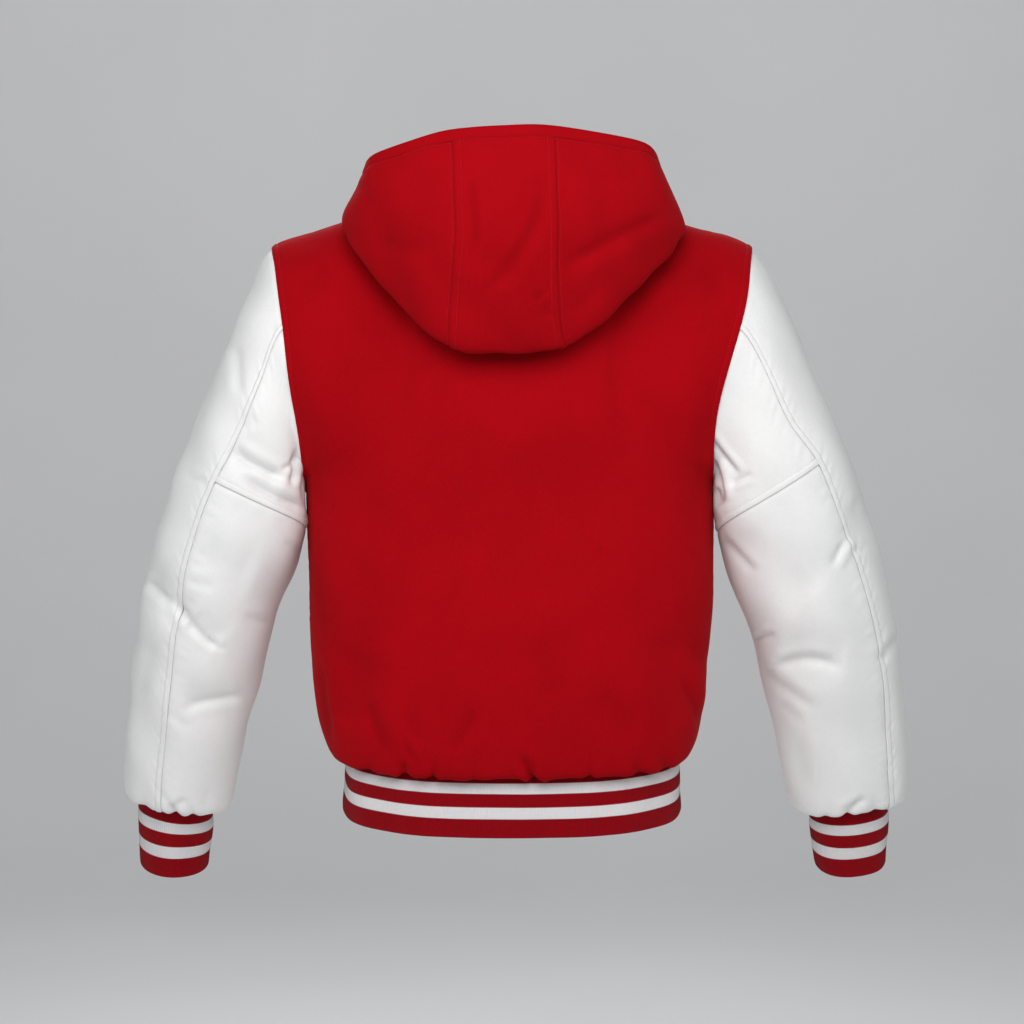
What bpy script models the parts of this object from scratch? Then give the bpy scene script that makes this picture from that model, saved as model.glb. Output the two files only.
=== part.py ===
"""Hooded varsity jacket, filled out as worn, with its hood down.

Run with: blender --background --python part.py
Metres, +Z up. The front faces -Y, the wearer's left is +X, and the origin is the nape: the middle of
the back neck seam.

The cloth is worked out as one coarse cage from the section tables below. A Subdivision Surface rounds
it, creases are pressed into it, and it is then cut along its seams into the panels that a maker would
sew, each a closed wall of its own thickness.
"""
import math

import bmesh
import bpy
import numpy as np
from mathutils import Vector
from mathutils.bvhtree import BVHTree

# ---------------------------------------------------------------- cloth
WOOL = 0.0021        # melton body cloth
LEATHER = 0.0017     # sleeve hide
RIB = 0.0026         # double knit rib
SEAM_GAP = 0.0003    # left between two panels at a seam
SMOOTHING = 1        # subdivision levels of the cage

# ---------------------------------------------------------------- torso
SIDE_Y = -0.060      # the plane of the side seams
SHOULDER = (0.2508, -0.0335)      # x and z of the shoulder point
NECK = (0.0920, -0.0520, 0.0180)  # neck-shoulder point
FRONT_NECK = (-0.1240, -0.0670)   # y and z of the front neck, at the centre
NAPE_S = 0.40        # share of a half panel's width that the neckline takes
FRONT_LAP = 0.0042   # how far the left front stands out over the right one

# Level sections, from the rib seam up to the armpit. The hem hangs lower at the back by back_drop.
TORSO_COLUMNS = ("half_width", "side_z", "back_depth", "front_depth", "back_drop", "squareness")
TORSO = [
    (0.1720, -0.5500, 0.1060, 0.1100, 0.0200, 2.6),   # rib seam, under the blouse
    (0.1820, -0.5575, 0.1190, 0.1215, 0.0200, 2.6),   # lowest line of the blouse
    (0.1935, -0.5420, 0.1290, 0.1295, 0.0170, 2.5),
    (0.2015, -0.5140, 0.1350, 0.1360, 0.0110, 2.5),
    (0.2075, -0.4600, 0.1350, 0.1370, 0.0030, 2.4),
    (0.2115, -0.3800, 0.1250, 0.1350, 0.0000, 2.4),
    (0.2150, -0.2900, 0.1160, 0.1280, 0.0000, 2.4),   # armpit level
]
BODY_SHIFT = {   # what each section's half width changes by on this side
    "left": (0.0, 0.0, 0.0, 0.0, 0.0, 0.0, 0.0),
    "right": (0.0, 0.0, -0.0010, -0.0030, -0.0032, -0.0015, -0.0065),
}
# Columns of the half panels, as shares of the way from the centre (0) to the side seam (1).
BACK_S = (0.0, 0.2, 0.3, 0.4, 0.6, 0.8, 1.0)
FRONT_S = (1.0, 0.8, 0.6, 0.4, 0.28, 0.18, 0.10, 0.04, 0.0, -0.035)
LAP_S = 0.05         # columns nearer the centre than this lie in the overlap
UPPER_ROWS = 5       # cage rows from the armpit level to the shoulder

# Centre lines above the armpit, from it up to the neck: y and z.
BACK_LINE = [(0.0560, -0.2900), (0.0600, -0.2150), (0.0590, -0.1550),
             (0.0500, -0.0900), (0.0300, -0.0350), (0.0000, 0.0000)]
FRONT_LINE = [(-0.1880, -0.2900), (-0.1885, -0.2300), (-0.1830, -0.1900),
              (-0.1720, -0.1500), (-0.1520, -0.1080), (-0.1240, -0.0670)]

# ---------------------------------------------------------------- armhole
ARMHOLE_MID_Z = -0.16175
ARMHOLE_HALF_HEIGHT = 0.12825
ARMHOLE_DEPTH = {"back": 0.084, "front": 0.078}
# x of the armhole seam at each height, from the armpit up.
ARMHOLE_X = {
    "front": [(-0.2550, 0.2165), (-0.2200, 0.2195), (-0.1950, 0.2255), (-0.1560, 0.2305), (-0.1150, 0.2335),
              (-0.0830, 0.2375), (-0.0600, 0.2430), (-0.0335, 0.2508)],
    "back_left": [(-0.2600, 0.2140), (-0.2301, 0.2135), (-0.1989, 0.2238), (-0.1718, 0.2286), (-0.1363, 0.2317),
                  (-0.0939, 0.2338), (-0.0438, 0.2480), (-0.0335, 0.2508)],
    "back_right": [(-0.2600, 0.2065), (-0.2130, 0.2048), (-0.1577, 0.2235), (-0.1188, 0.2330), (-0.0787, 0.2400),
                   (-0.0438, 0.2480), (-0.0335, 0.2508)],
}

# ---------------------------------------------------------------- sleeves
# Rings from the armhole to the cuff: the outer and the inner point seen from behind, how far the
# middle lies from the side plane, half the depth from back to front, the forward lean, and how far
# the inner side wraps round the back of the body.
SLEEVE_COLUMNS = ("outer_x", "outer_z", "inner_x", "inner_z", "middle_y", "half_depth", "lean_deg", "wrap")
SLEEVE = [
    (0.2850, -0.0930, 0.2275, -0.2965, 0.000, 0.0820, 0, 0.012),
    (0.3200, -0.1760, 0.2250, -0.3150, 0.000, 0.0825, 0, 0.013),
    (0.3530, -0.2560, 0.2215, -0.3340, 0.000, 0.0815, 0, 0.010),    # cross seam
    (0.3725, -0.3200, 0.2290, -0.3720, 0.000, 0.0795, 2, 0.003),
    (0.3890, -0.3860, 0.2460, -0.4140, -0.005, 0.0755, 6, 0.0),     # elbow
    (0.4000, -0.4460, 0.2600, -0.4640, -0.018, 0.0715, 12, 0.0),
    (0.4100, -0.5110, 0.2770, -0.5225, -0.035, 0.0660, 14, 0.0),
    (0.4185, -0.5770, 0.2955, -0.5855, -0.050, 0.0600, 12, 0.0),
    (0.4165, -0.6130, 0.3075, -0.6250, -0.056, 0.0515, 9, 0.0),     # lowest line of the leather
    (0.4025, -0.6090, 0.3235, -0.6190, -0.058, 0.0400, 10, 0.0),    # cuff seam, under the leather
]
CROSS_SEAM_RING = 3
SLEEVE_SHIFT = {   # the two sleeves hang differently: shift of each ring's outer and inner x
    "left": [(-0.0073, -0.0068), (-0.0063, -0.0060), (-0.0084, -0.0052), (-0.0052, 0.0), (-0.0047, 0.0),
             (-0.0042, 0.0), (-0.0052, 0.0), (-0.0037, -0.0023), (-0.0030, -0.0050), (-0.0010, -0.0030), (0.0, 0.0)],
    "right": [(-0.0005, -0.0140), (-0.0020, -0.0108), (0.0, -0.0060), (0.0021, -0.0052), (0.0047, -0.0036),
              (0.0084, -0.0010), (0.0078, -0.0027), (0.0043, -0.0057), (0.0050, -0.0072), (0.0020, -0.0060),
              (0.0, 0.0)],
}
CUFF_BOTTOM = (0.4025, -0.6840, 0.3280, -0.6890, -0.080, 0.0350, 21, 0.0)
# Angle of the back seam from the outer side, at the armhole and at each ring, for each sleeve.
BACK_SEAM_DEG = {
    "left": (72, 80, 77, 71, 68, 70, 73, 75, 78, 79, 79, 79),
    "right": (72, 76, 71, 61, 56, 52, 49, 51, 53, 52, 52, 52),
}
SEAM_COLUMN = 2      # the cage column that is the back seam, of five between outer and inner
FRONT_SEAM_COLUMN = 8

# ---------------------------------------------------------------- rib hem
HEM_BOTTOM = (0.1760, -0.6155, 0.1085, 0.1130, 0.0220, 2.6)
# Knitted stripes: slot, and how far down the rib each one ends.
HEM_BANDS = [("rib", 0.15), ("rib_stripe", 0.33), ("rib", 0.52), ("rib_stripe", 0.70), ("rib", 1.0)]
CUFF_BANDS = [("rib", 0.30), ("rib_stripe", 0.45), ("rib", 0.615), ("rib_stripe", 0.765), ("rib", 1.0)]

# ---------------------------------------------------------------- hood, lying down the back
# A row for each column of the half hood, from the centre back round to the throat: where it turns
# under, where its outer layer bulges, and its rim.
HOOD_COLUMNS = ("stand", "over", "under", "fold", "belly", "rim")
HOOD = [
    ((0.0000, 0.0080, 0.0120), (0.0000, 0.0340, -0.0180), (0.0000, 0.0680, -0.0880),
     (0.0000, 0.0980, -0.1540), (0.0000, 0.1270, -0.0520), (0.0000, 0.0800, 0.0750)),
    ((0.0660, -0.0090, 0.0185), (0.0670, 0.0210, -0.0110), (0.0630, 0.0580, -0.0780),
     (0.0590, 0.0930, -0.1505), (0.0590, 0.1210, -0.0500), (0.0565, 0.0780, 0.0725)),
    ((0.0870, -0.0255, 0.0240), (0.0930, 0.0050, -0.0020), (0.0960, 0.0400, -0.0550),
     (0.1000, 0.0800, -0.1170), (0.1080, 0.0990, -0.0350), (0.1000, 0.0720, 0.0650)),
    ((0.0950, -0.0480, 0.0320), (0.1090, -0.0240, 0.0210), (0.1240, 0.0120, -0.0270),
     (0.1400, 0.0540, -0.0700), (0.1510, 0.0620, -0.0120), (0.1380, 0.0480, 0.0580)),
    ((0.0990, -0.0710, 0.0180), (0.1140, -0.0560, 0.0230), (0.1380, -0.0280, 0.0140),
     (0.1640, 0.0130, -0.0290), (0.1735, 0.0080, -0.0110), (0.1515, -0.0040, 0.0475)),
    ((0.0790, -0.0930, -0.0140), (0.0980, -0.0820, 0.0080), (0.1270, -0.0690, 0.0170),
     (0.1600, -0.0500, 0.0130), (0.1660, -0.0560, 0.0260), (0.1440, -0.0600, 0.0430)),
    ((0.0480, -0.1180, -0.0430), (0.0660, -0.1170, -0.0340), (0.0880, -0.1150, -0.0250),
     (0.1150, -0.1140, -0.0200), (0.1200, -0.1220, -0.0050), (0.0980, -0.1150, 0.0150)),
    ((0.0180, -0.1290, -0.0610), (0.0200, -0.1310, -0.0570), (0.0225, -0.1330, -0.0530),
     (0.0250, -0.1350, -0.0490), (0.0300, -0.1380, -0.0370), (0.0330, -0.1380, -0.0190)),
]
LEFT_RIM_DROP = (0.0, 0.0015, 0.0050, 0.0085, 0.0020, 0.0, 0.0, 0.0)   # the rim hangs lower on the left
HOOD_BAND_WIDTH = 0.0115
HOOD_LIFT = 0.0045       # the hood's outer side stays this far off the body cloth
HOOD_CENTRE_COLUMN = 1   # the seam between the centre and the side panels
# The right half of the centre panel is narrower: its share of the left's width, row by row.
RIGHT_CENTRE_SHARE = (1, 1, 1, 0.94, 0.86, 0.82, 0.79, 0.77, 0.74, 0.73)

# ---------------------------------------------------------------- creases
# Soft troughs pressed in, or ridges raised, along a straight line seen from behind or from the front.
CREASE_COLUMNS = ("part", "side", "x0", "z0", "x1", "z1", "half_width", "depth")
CREASES = [
    # left sleeve, back
    ("sleeve", "back", 0.378, -0.378, 0.330, -0.420, 0.020, 0.0060),
    ("sleeve", "back", 0.330, -0.420, 0.300, -0.446, 0.020, 0.0040),
    ("sleeve", "back", 0.292, -0.246, 0.232, -0.280, 0.022, 0.0050),
    ("sleeve", "back", 0.340, -0.512, 0.286, -0.500, 0.020, 0.0040),
    ("sleeve", "back", 0.322, -0.350, 0.262, -0.372, 0.026, 0.0045),
    # right sleeve, back
    ("sleeve", "back", -0.226, -0.330, -0.306, -0.400, 0.026, 0.0060),
    ("sleeve", "back", -0.275, -0.452, -0.342, -0.464, 0.022, 0.0050),
    ("sleeve", "back", -0.362, -0.300, -0.350, -0.345, 0.020, 0.0040),
    # sleeves, front
    ("sleeve", "front", 0.240, -0.300, 0.310, -0.262, 0.022, 0.0050),
    ("sleeve", "front", 0.262, -0.430, 0.338, -0.398, 0.022, 0.0060),
    ("sleeve", "front", 0.272, -0.478, 0.350, -0.456, 0.022, 0.0045),
    ("sleeve", "front", -0.238, -0.306, -0.300, -0.256, 0.022, 0.0050),
    ("sleeve", "front", -0.258, -0.418, -0.345, -0.410, 0.022, 0.0060),
    ("sleeve", "front", -0.280, -0.486, -0.352, -0.462, 0.022, 0.0045),
    # body, back
    ("body", "back", -0.160, -0.430, -0.176, -0.530, 0.024, 0.0045),
    ("body", "back", 0.150, -0.450, 0.170, -0.530, 0.024, 0.0035),
    # body, front
    ("body", "front", 0.130, -0.440, 0.142, -0.530, 0.024, 0.0045),
    ("body", "front", -0.148, -0.450, -0.152, -0.530, 0.024, 0.0045),
    # hood, outer layer
    ("hood", "back", -0.010, -0.010, 0.040, -0.100, 0.022, 0.0040),
    ("hood", "back", -0.110, -0.030, -0.048, -0.066, 0.020, 0.0040),
]

# ---------------------------------------------------------------- snaps
SNAP_RADIUS = 0.0075
SNAP_HEIGHT = 0.0030
SNAP_EDGE = 0.0012
SNAP_TOP_Z = -0.0950
SNAP_BOTTOM_Z = -0.5980
SNAP_COUNT = 7

COLOURS = {   # slot: base colour, roughness, metallic
    "wool": ((0.40, 0.003, 0.012, 1), 0.9, 0.0),
    "leather": ((0.80, 0.80, 0.79, 1), 0.45, 0.0),
    "rib": ((0.36, 0.004, 0.014, 1), 0.85, 0.0),
    "rib_stripe": ((0.78, 0.76, 0.77, 1), 0.85, 0.0),
    "snap": ((0.62, 0.62, 0.63, 1), 0.3, 1.0),
}
PANELS = {   # panel: slot, thickness
    "back": ("wool", WOOL),
    "front_left": ("wool", WOOL),
    "front_right": ("wool", WOOL),
    "hood_centre": ("wool", WOOL),
    "hood_side_left": ("wool", WOOL),
    "hood_side_right": ("wool", WOOL),
    "hood_band": ("wool", WOOL),
    "sleeve_top_left": ("leather", LEATHER),
    "sleeve_top_right": ("leather", LEATHER),
    "sleeve_under_upper_left": ("leather", LEATHER),
    "sleeve_under_upper_right": ("leather", LEATHER),
    "sleeve_under_lower_left": ("leather", LEATHER),
    "sleeve_under_lower_right": ("leather", LEATHER),
    "hem_rib": ("rib", RIB),
    "cuff_left": ("rib", RIB),
    "cuff_right": ("rib", RIB),
}
SIDES = {"left": 1, "right": -1}


# ================================================================ sections
def unit(v):
    """Vectors of length one."""
    return v / np.maximum(np.linalg.norm(v, axis=-1, keepdims=True), 1e-12)


def ease(t):
    """0 to 1 with a soft start and end."""
    t = np.clip(t, 0.0, 1.0)
    return t * t * (3 - 2 * t)


def along(points, share):
    """The point at this share of the length of a line through the points."""
    points = np.array(points, float)
    steps = np.linalg.norm(np.diff(points, axis=0), axis=1)
    at = np.concatenate([[0], np.cumsum(steps)]) / steps.sum()
    return np.array([np.interp(share, at, points[:, c]) for c in range(points.shape[1])])


def section(n, side):
    """A level section of the body, as wide as it is on this side."""
    return (TORSO[n][0] + BODY_SHIFT[side][n],) + TORSO[n][1:]


def ring_point(sizes, face, s):
    """A point of a level section: face is back or front, s runs from the centre to the side seam."""
    half_width, side_z, back_depth, front_depth, back_drop, squareness = sizes
    turn = math.radians(90 * s)
    sine = math.copysign(abs(math.sin(turn)) ** (2 / squareness), s)
    cosine = abs(math.cos(turn)) ** (2 / squareness)
    if face == "back":
        return np.array([half_width * sine, SIDE_Y + back_depth * cosine, side_z - back_drop * cosine])
    return np.array([half_width * sine, SIDE_Y - front_depth * cosine, side_z + 0.3 * back_drop * cosine])


def armhole_point(face, k, side):
    """The armhole seam, from the armpit (k = 0) to the shoulder point (k = 1)."""
    turn = math.pi * (1 - k)
    z = ARMHOLE_MID_Z + ARMHOLE_HALF_HEIGHT * math.cos(turn)
    line = [section(-1, side)[1::-1]] + ARMHOLE_X[face if face == "front" else "back_" + side]
    x = np.interp(z, [row[0] for row in line], [row[1] for row in line])
    out = ARMHOLE_DEPTH[face] * math.sin(turn)
    return np.array([x, SIDE_Y + (out if face == "back" else -out), z])


def top_point(face, s):
    """The neckline from the centre to the neck point, then the shoulder seam out to the shoulder point."""
    if s <= NAPE_S:
        turn = math.radians(90 * s / NAPE_S)
        y0, z0 = (0.0, 0.0) if face == "back" else FRONT_NECK
        rise = 1 - math.cos(turn)
        return np.array([NECK[0] * math.sin(turn), y0 + (NECK[1] - y0) * rise, z0 + (NECK[2] - z0) * rise])
    t = (s - NAPE_S) / (1 - NAPE_S)
    x = NECK[0] + (SHOULDER[0] - NECK[0]) * t
    y = NECK[1] + (SIDE_Y - NECK[1]) * t
    z = NECK[2] + (SHOULDER[1] - NECK[2]) * t ** 1.25
    return np.array([x, y, z])


def yoke_point(face, s, k, side):
    """The body above the armpit level, blended from its four edges."""
    y, z = along(BACK_LINE if face == "back" else FRONT_LINE, k)
    centre = np.array([0.0, y, z])
    edge = armhole_point(face, k, side)
    armpit = section(-1, side)
    low, high = ring_point(armpit, face, s), top_point(face, s)
    corner = {(i, j): (ring_point(armpit, face, i) if j == 0 else top_point(face, i))
              for i in (0, 1) for j in (0, 1)}
    w = s * s * (2 - s)      # level across the centre, so that the two halves meet flush
    ruled = (1 - k) * low + k * high + (1 - w) * centre + w * edge
    return ruled - ((1 - w) * (1 - k) * corner[0, 0] + w * (1 - k) * corner[1, 0]
                    + (1 - w) * k * corner[0, 1] + w * k * corner[1, 1])


def body_column(face, s, side):
    """One column of the body, from the rib seam to the shoulder or the neckline."""
    rows = [ring_point(section(n, side), face, s) for n in range(len(TORSO))]
    rows += [yoke_point(face, s, k / UPPER_ROWS, side) for k in range(1, UPPER_ROWS + 1)]
    rows = np.array(rows)
    if face == "front":                               # the lap runs flat into the rib, with no blouse
        flat = 1 - ease((s - LAP_S) / 0.19)
        for n, share in enumerate((0.14, 0.28, 0.52)):
            rows[n + 1] += (rows[0] + (rows[4] - rows[0]) * share - rows[n + 1]) * flat
        rows[:, 1] -= FRONT_LAP * (side == "left" and s < LAP_S)
    rows[:, 0] *= SIDES[side]
    return rows


def sleeve_angles(side, ring):
    """The cage columns round a sleeve: 0 is outer, 180 inner, and the back comes between them."""
    seam = BACK_SEAM_DEG[side][ring]
    back = [0, seam / 2, seam] + [seam + (180 - seam) * i / 3 for i in (1, 2, 3)]
    return back + [180 + 36 * i for i in (1, 2, 3, 4)]


def sleeve_ring(row, side, ring):
    """One ring of the sleeve or of its cuff."""
    outer_x, outer_z, inner_x, inner_z, middle_y, half_depth, lean_deg, wrap = row
    outer_x, inner_x = outer_x + SLEEVE_SHIFT[side][ring - 1][0], inner_x + SLEEVE_SHIFT[side][ring - 1][1]
    lean = math.radians(lean_deg)
    points = []
    for angle in sleeve_angles(side, ring):
        across = math.cos(math.radians(angle))
        deep = half_depth * math.sin(math.radians(angle))
        x = (outer_x + inner_x) / 2 + across * (outer_x - inner_x) / 2
        x -= 2 * wrap * max(0.0, -across) * max(0.0, deep / half_depth)
        z = (outer_z + inner_z) / 2 + across * (outer_z - inner_z) / 2 - deep * math.sin(lean)
        points.append((x * SIDES[side], SIDE_Y + middle_y + deep * math.cos(lean), z))
    return np.array(points)


def armhole_ring(side):
    """The armhole seam as the sleeve's first ring."""
    share = [k / UPPER_ROWS for k in range(UPPER_ROWS, -1, -1)]
    ring = [armhole_point("back", k, side) for k in share] + [armhole_point("front", k, side) for k in share[-2:0:-1]]
    return np.array(ring) * (SIDES[side], 1, 1)


def hood_column(j, neck, side):
    """One column of the hood: up from the neck seam, down to the fold, and up its outer layer to the rim."""
    stand, over, under, fold, belly, rim = (np.array(p, float) for p in HOOD[j])
    if side == "left":
        rim = rim - (0.0, 0.0, LEFT_RIM_DROP[j])
    turned = min(1.0, (len(HOOD) - 1 - j) / 3)        # the throat end has no fold
    low = fold + (belly - fold) * 0.42 + np.array([0.0, 0.008, -0.004]) * turned
    high = belly + (rim - belly) * 0.45 + np.array([0.0, 0.006, 0.0]) * turned
    drop = belly - rim
    band = rim + drop * min(HOOD_BAND_WIDTH / np.linalg.norm(drop), 0.35)
    rows = np.array([neck, stand, over, under, fold, low, belly, high, band, rim])
    if side == "right" and j <= HOOD_CENTRE_COLUMN:
        rows[:, 0] *= RIGHT_CENTRE_SHARE
    return rows * (SIDES[side], 1, 1)


# ================================================================ cage
class Cage:
    """One coarse surface of all the cloth. Each face keeps the panel and the slot that it belongs to."""

    def __init__(self):
        self.points, self.faces, self.tags, self.known = [], [], [], []

    def add(self, rows, tag_of):
        """Adds rows of points as a grid. tag_of(row, column) gives each face its panel and its slot."""
        start, width = len(self.points), len(rows[0])
        self.points.extend(p for row in rows for p in row)
        for i in range(len(rows) - 1):
            for j in range(width - 1):
                tag = tag_of(i, j)
                if tag not in self.known:
                    self.known.append(tag)
                at = start + i * width + j
                self.faces.append((at, at + 1, at + width + 1, at + width))
                self.tags.append(self.known.index(tag))


def bands(top, bottom, table):
    """Rows of a rib, one at each border of its stripes."""
    return [top] + [top + (bottom - top) * end for _, end in table]


def add_half(cage, side):
    """The left or the right half of the jacket."""
    sign = SIDES[side]
    back = np.array([body_column("back", s, side) for s in BACK_S]).transpose(1, 0, 2)
    front = np.array([body_column("front", s, side) for s in FRONT_S]).transpose(1, 0, 2)
    cage.add(back, lambda i, j: ("back", "wool"))
    cage.add(front, lambda i, j: ("front_" + side, "wool"))

    for face, shares, body in (("back", BACK_S, back), ("front", FRONT_S, front)):
        bottom = np.array([ring_point(HEM_BOTTOM, face, s) for s in shares])
        if face == "front" and side == "left":
            bottom[:, 1] -= FRONT_LAP * (np.array(shares) < LAP_S)
        cage.add(bands(body[0], bottom * (sign, 1, 1), HEM_BANDS), lambda i, j: ("hem_rib", HEM_BANDS[i][0]))

    rings = [armhole_ring(side)] + [sleeve_ring(row, side, n + 1) for n, row in enumerate(SLEEVE)]
    rings = [np.vstack([ring, ring[:1]]) for ring in rings]
    cuff = sleeve_ring(CUFF_BOTTOM, side, len(SLEEVE) + 1)
    cuff = np.vstack([cuff, cuff[:1]])

    def sleeve_panel(i, j):
        if j < SEAM_COLUMN or j >= FRONT_SEAM_COLUMN:
            return "sleeve_top_" + side, "leather"
        return ("sleeve_under_upper_" if i < CROSS_SEAM_RING else "sleeve_under_lower_") + side, "leather"

    cage.add(rings, sleeve_panel)
    cage.add(bands(rings[-1], cuff, CUFF_BANDS), lambda i, j: ("cuff_" + side, CUFF_BANDS[i][0]))

    neck = [back[-1][j] for j, s in enumerate(BACK_S) if s <= NAPE_S]
    neck += [front[-1][j] for j, s in enumerate(FRONT_S) if 0.03 < s < NAPE_S]
    hood = np.array([hood_column(j, p * (sign, 1, 1), side) for j, p in enumerate(neck)]).transpose(1, 0, 2)

    def hood_panel(i, j):
        if i == len(hood) - 2:
            return "hood_band", "wool"
        return ("hood_centre" if j < HOOD_CENTRE_COLUMN else "hood_side_" + side), "wool"

    cage.add(hood, hood_panel)


def rounded(mesh, points, levels):
    """The points of the cage's surface after Subdivision Surface, and its mesh."""
    mesh.vertices.foreach_set("co", np.array(points, float).ravel())
    mesh.update()
    bpy.context.view_layer.update()
    graph = bpy.context.evaluated_depsgraph_get()
    body = bpy.data.objects["cage"]
    for modifier in body.modifiers:
        modifier.levels = modifier.render_levels = levels
    graph.update()
    smooth = bpy.data.meshes.new_from_object(body.evaluated_get(graph), depsgraph=graph)
    smooth_points = np.zeros(len(smooth.vertices) * 3)
    smooth.vertices.foreach_get("co", smooth_points)
    return smooth_points.reshape(-1, 3), smooth


def make_cloth():
    """The jacket's middle surface: points, faces, and the panel and slot of each face."""
    cage = Cage()
    for side in SIDES:
        add_half(cage, side)
    mesh = bpy.data.meshes.new("cage")
    for index in range(len(cage.known)):
        mesh.materials.append(bpy.data.materials.new("cage_%d" % index))
    mesh.from_pydata([tuple(p) for p in cage.points], [], cage.faces)
    mesh.polygons.foreach_set("material_index", cage.tags)
    work = bmesh.new()
    work.from_mesh(mesh)
    bmesh.ops.remove_doubles(work, verts=work.verts, dist=0.0004)
    bmesh.ops.recalc_face_normals(work, faces=work.faces)
    work.to_mesh(mesh)
    work.free()
    body = bpy.data.objects.new("cage", mesh)
    bpy.context.scene.collection.objects.link(body)
    modifier = body.modifiers.new("round", "SUBSURF")
    modifier.boundary_smooth = "PRESERVE_CORNERS"

    # The cage is moved until its rounded surface passes through the points of the tables.
    wanted = np.array([v.co for v in mesh.vertices])
    points = wanted.copy()
    for _ in range(3):
        found, smooth = rounded(mesh, points, 1)
        points += wanted - found[:len(points)]
        bpy.data.meshes.remove(smooth)
    found, smooth = rounded(mesh, points, SMOOTHING)
    faces = [tuple(p.vertices) for p in smooth.polygons]
    tags = [cage.known[p.material_index] for p in smooth.polygons]
    bpy.data.objects.remove(body)
    bpy.data.meshes.remove(mesh)
    bpy.data.meshes.remove(smooth)
    for material in [m for m in bpy.data.materials if m.name.startswith("cage_")]:
        bpy.data.materials.remove(material)
    return found, turned_outward(found, faces, tags), tags


def turned_outward(points, faces, tags):
    """The same faces, all wound so that the outer side of the back panel looks to the back."""
    score = 0.0
    for face, (panel, _) in zip(faces, tags):
        if panel == "back":
            a, b, c = (points[v] for v in face[:3])
            score += np.cross(b - a, c - b)[1]
    return [face[::-1] for face in faces] if score < 0 else faces


def point_normals(points, faces):
    """A normal for each point: the mean of its faces, so that a seam is mitred evenly."""
    normals = np.zeros_like(points)
    quads = np.array(faces)
    across = unit(np.cross(points[quads[:, 2]] - points[quads[:, 0]], points[quads[:, 3]] - points[quads[:, 1]]))
    for corner in range(4):
        np.add.at(normals, quads[:, corner], across)
    return unit(normals)


def part_of(panel):
    """body, sleeve, hood or rib."""
    for word in ("hood", "sleeve"):
        if panel.startswith(word):
            return word
    return "rib" if "rib" in panel or "cuff" in panel else "body"


def press_creases(points, faces, tags):
    """Pushes the creases of the table into the surface."""
    normals = point_normals(points, faces)
    member = {word: np.zeros(len(points), bool) for word in ("body", "sleeve", "hood", "rib")}
    for face, (panel, _) in zip(faces, tags):
        member[part_of(panel)][list(face)] = True
    moved = np.zeros(len(points))
    for part, side, x0, z0, x1, z1, half_width, depth in CREASES:
        start, end = np.array((x0, z0)), np.array((x1, z1))
        place = points[:, (0, 2)] - start
        line = end - start
        share = np.clip(place @ line / (line @ line), 0, 1)
        away = np.linalg.norm(place - share[:, None] * line, axis=1) / half_width
        facing = normals[:, 1] if side == "back" else -normals[:, 1]
        soft = np.exp(-away ** 2) * ease(share * 4 + 0.25) * ease((1 - share) * 4 + 0.25)
        moved -= depth * soft * ease(facing * 1.6) * member[part] * ~member["rib"]
    return points + normals * moved[:, None]


def lift_hood(points, faces, tags):
    """Keeps the hood off the body cloth beneath it."""
    body = [face for face, (panel, _) in zip(faces, tags) if part_of(panel) in ("body", "sleeve")]
    hood = sorted({v for face, (panel, _) in zip(faces, tags) if part_of(panel) == "hood" for v in face}
                  - {v for face in body for v in face})
    tree = BVHTree.FromPolygons([Vector(p) for p in points], body)
    points = points.copy()
    for v in hood:
        at, normal, _, _ = tree.find_nearest(Vector(points[v]))
        away = Vector(points[v]) - at
        clear = away.dot(normal)
        if abs(clear) > 0.9 * away.length and clear < HOOD_LIFT:
            points[v] += np.array(normal) * (HOOD_LIFT - clear)
    return points


# ================================================================ walls
def inward_shift(points, normals, faces):
    """How far each edge point of a panel moves in, so that panels stay the seam gap apart."""
    count = {}
    for face in faces:
        for a, b in zip(face, face[1:] + face[:1]):
            count[a, b] = True
    edges = [(a, b) for a, b in count if (b, a) not in count]
    sides = {}
    for a, b in edges:
        for v in (a, b):
            step = np.cross(normals[v], points[b] - points[a])
            sides.setdefault(v, []).append(step / max(np.linalg.norm(step), 1e-12))
    shift = {}
    for v, steps in sides.items():
        total = sum(steps)
        mitre = max(0.35, 0.5 + 0.5 * float(np.dot(steps[0], steps[-1])))
        shift[v] = total / len(steps) / mitre * (SEAM_GAP / 2)
    return edges, shift


def wall(name, points, normals, faces, slots, thickness):
    """A closed wall of even thickness on these faces of the middle surface."""
    edges, shift = inward_shift(points, normals, faces)
    used = sorted({v for face in faces for v in face})
    local = {v: n for n, v in enumerate(used)}
    middle = np.array([points[v] + shift.get(v, 0.0) for v in used])
    out = normals[used] * (thickness / 2)
    total = len(used)
    solid, marks, owner = [], [], {}
    for face, slot in zip(faces, slots):              # both sides are split on the same diagonal
        a, b, c, d = face
        if np.linalg.norm(points[a] - points[c]) > np.linalg.norm(points[b] - points[d]):
            a, b, c, d = b, c, d, a
        for triangle in ((a, b, c), (a, c, d)):
            solid.append(tuple(local[v] for v in triangle))
            solid.append(tuple(local[v] + total for v in triangle[::-1]))
            marks += [slot, slot]
        for edge in zip(face, face[1:] + face[:1]):
            owner[edge] = slot
    cloth = len(solid)
    for a, b in edges:                                # rims, split alike on both sides of a seam
        ring = (local[b], local[a], local[a] + total, local[b] + total)
        low = 1 if a < b else 0
        solid += [(ring[low], ring[low + 1], ring[(low + 2) % 4]), (ring[low], ring[(low + 2) % 4], ring[low - 1])]
        marks += [owner[a, b]] * 2
    body = add_object(name, np.vstack([middle + out, middle - out]), solid, marks)
    body.data.polygons.foreach_set("use_smooth", [n < cloth for n in range(len(solid))])
    return body


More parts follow.
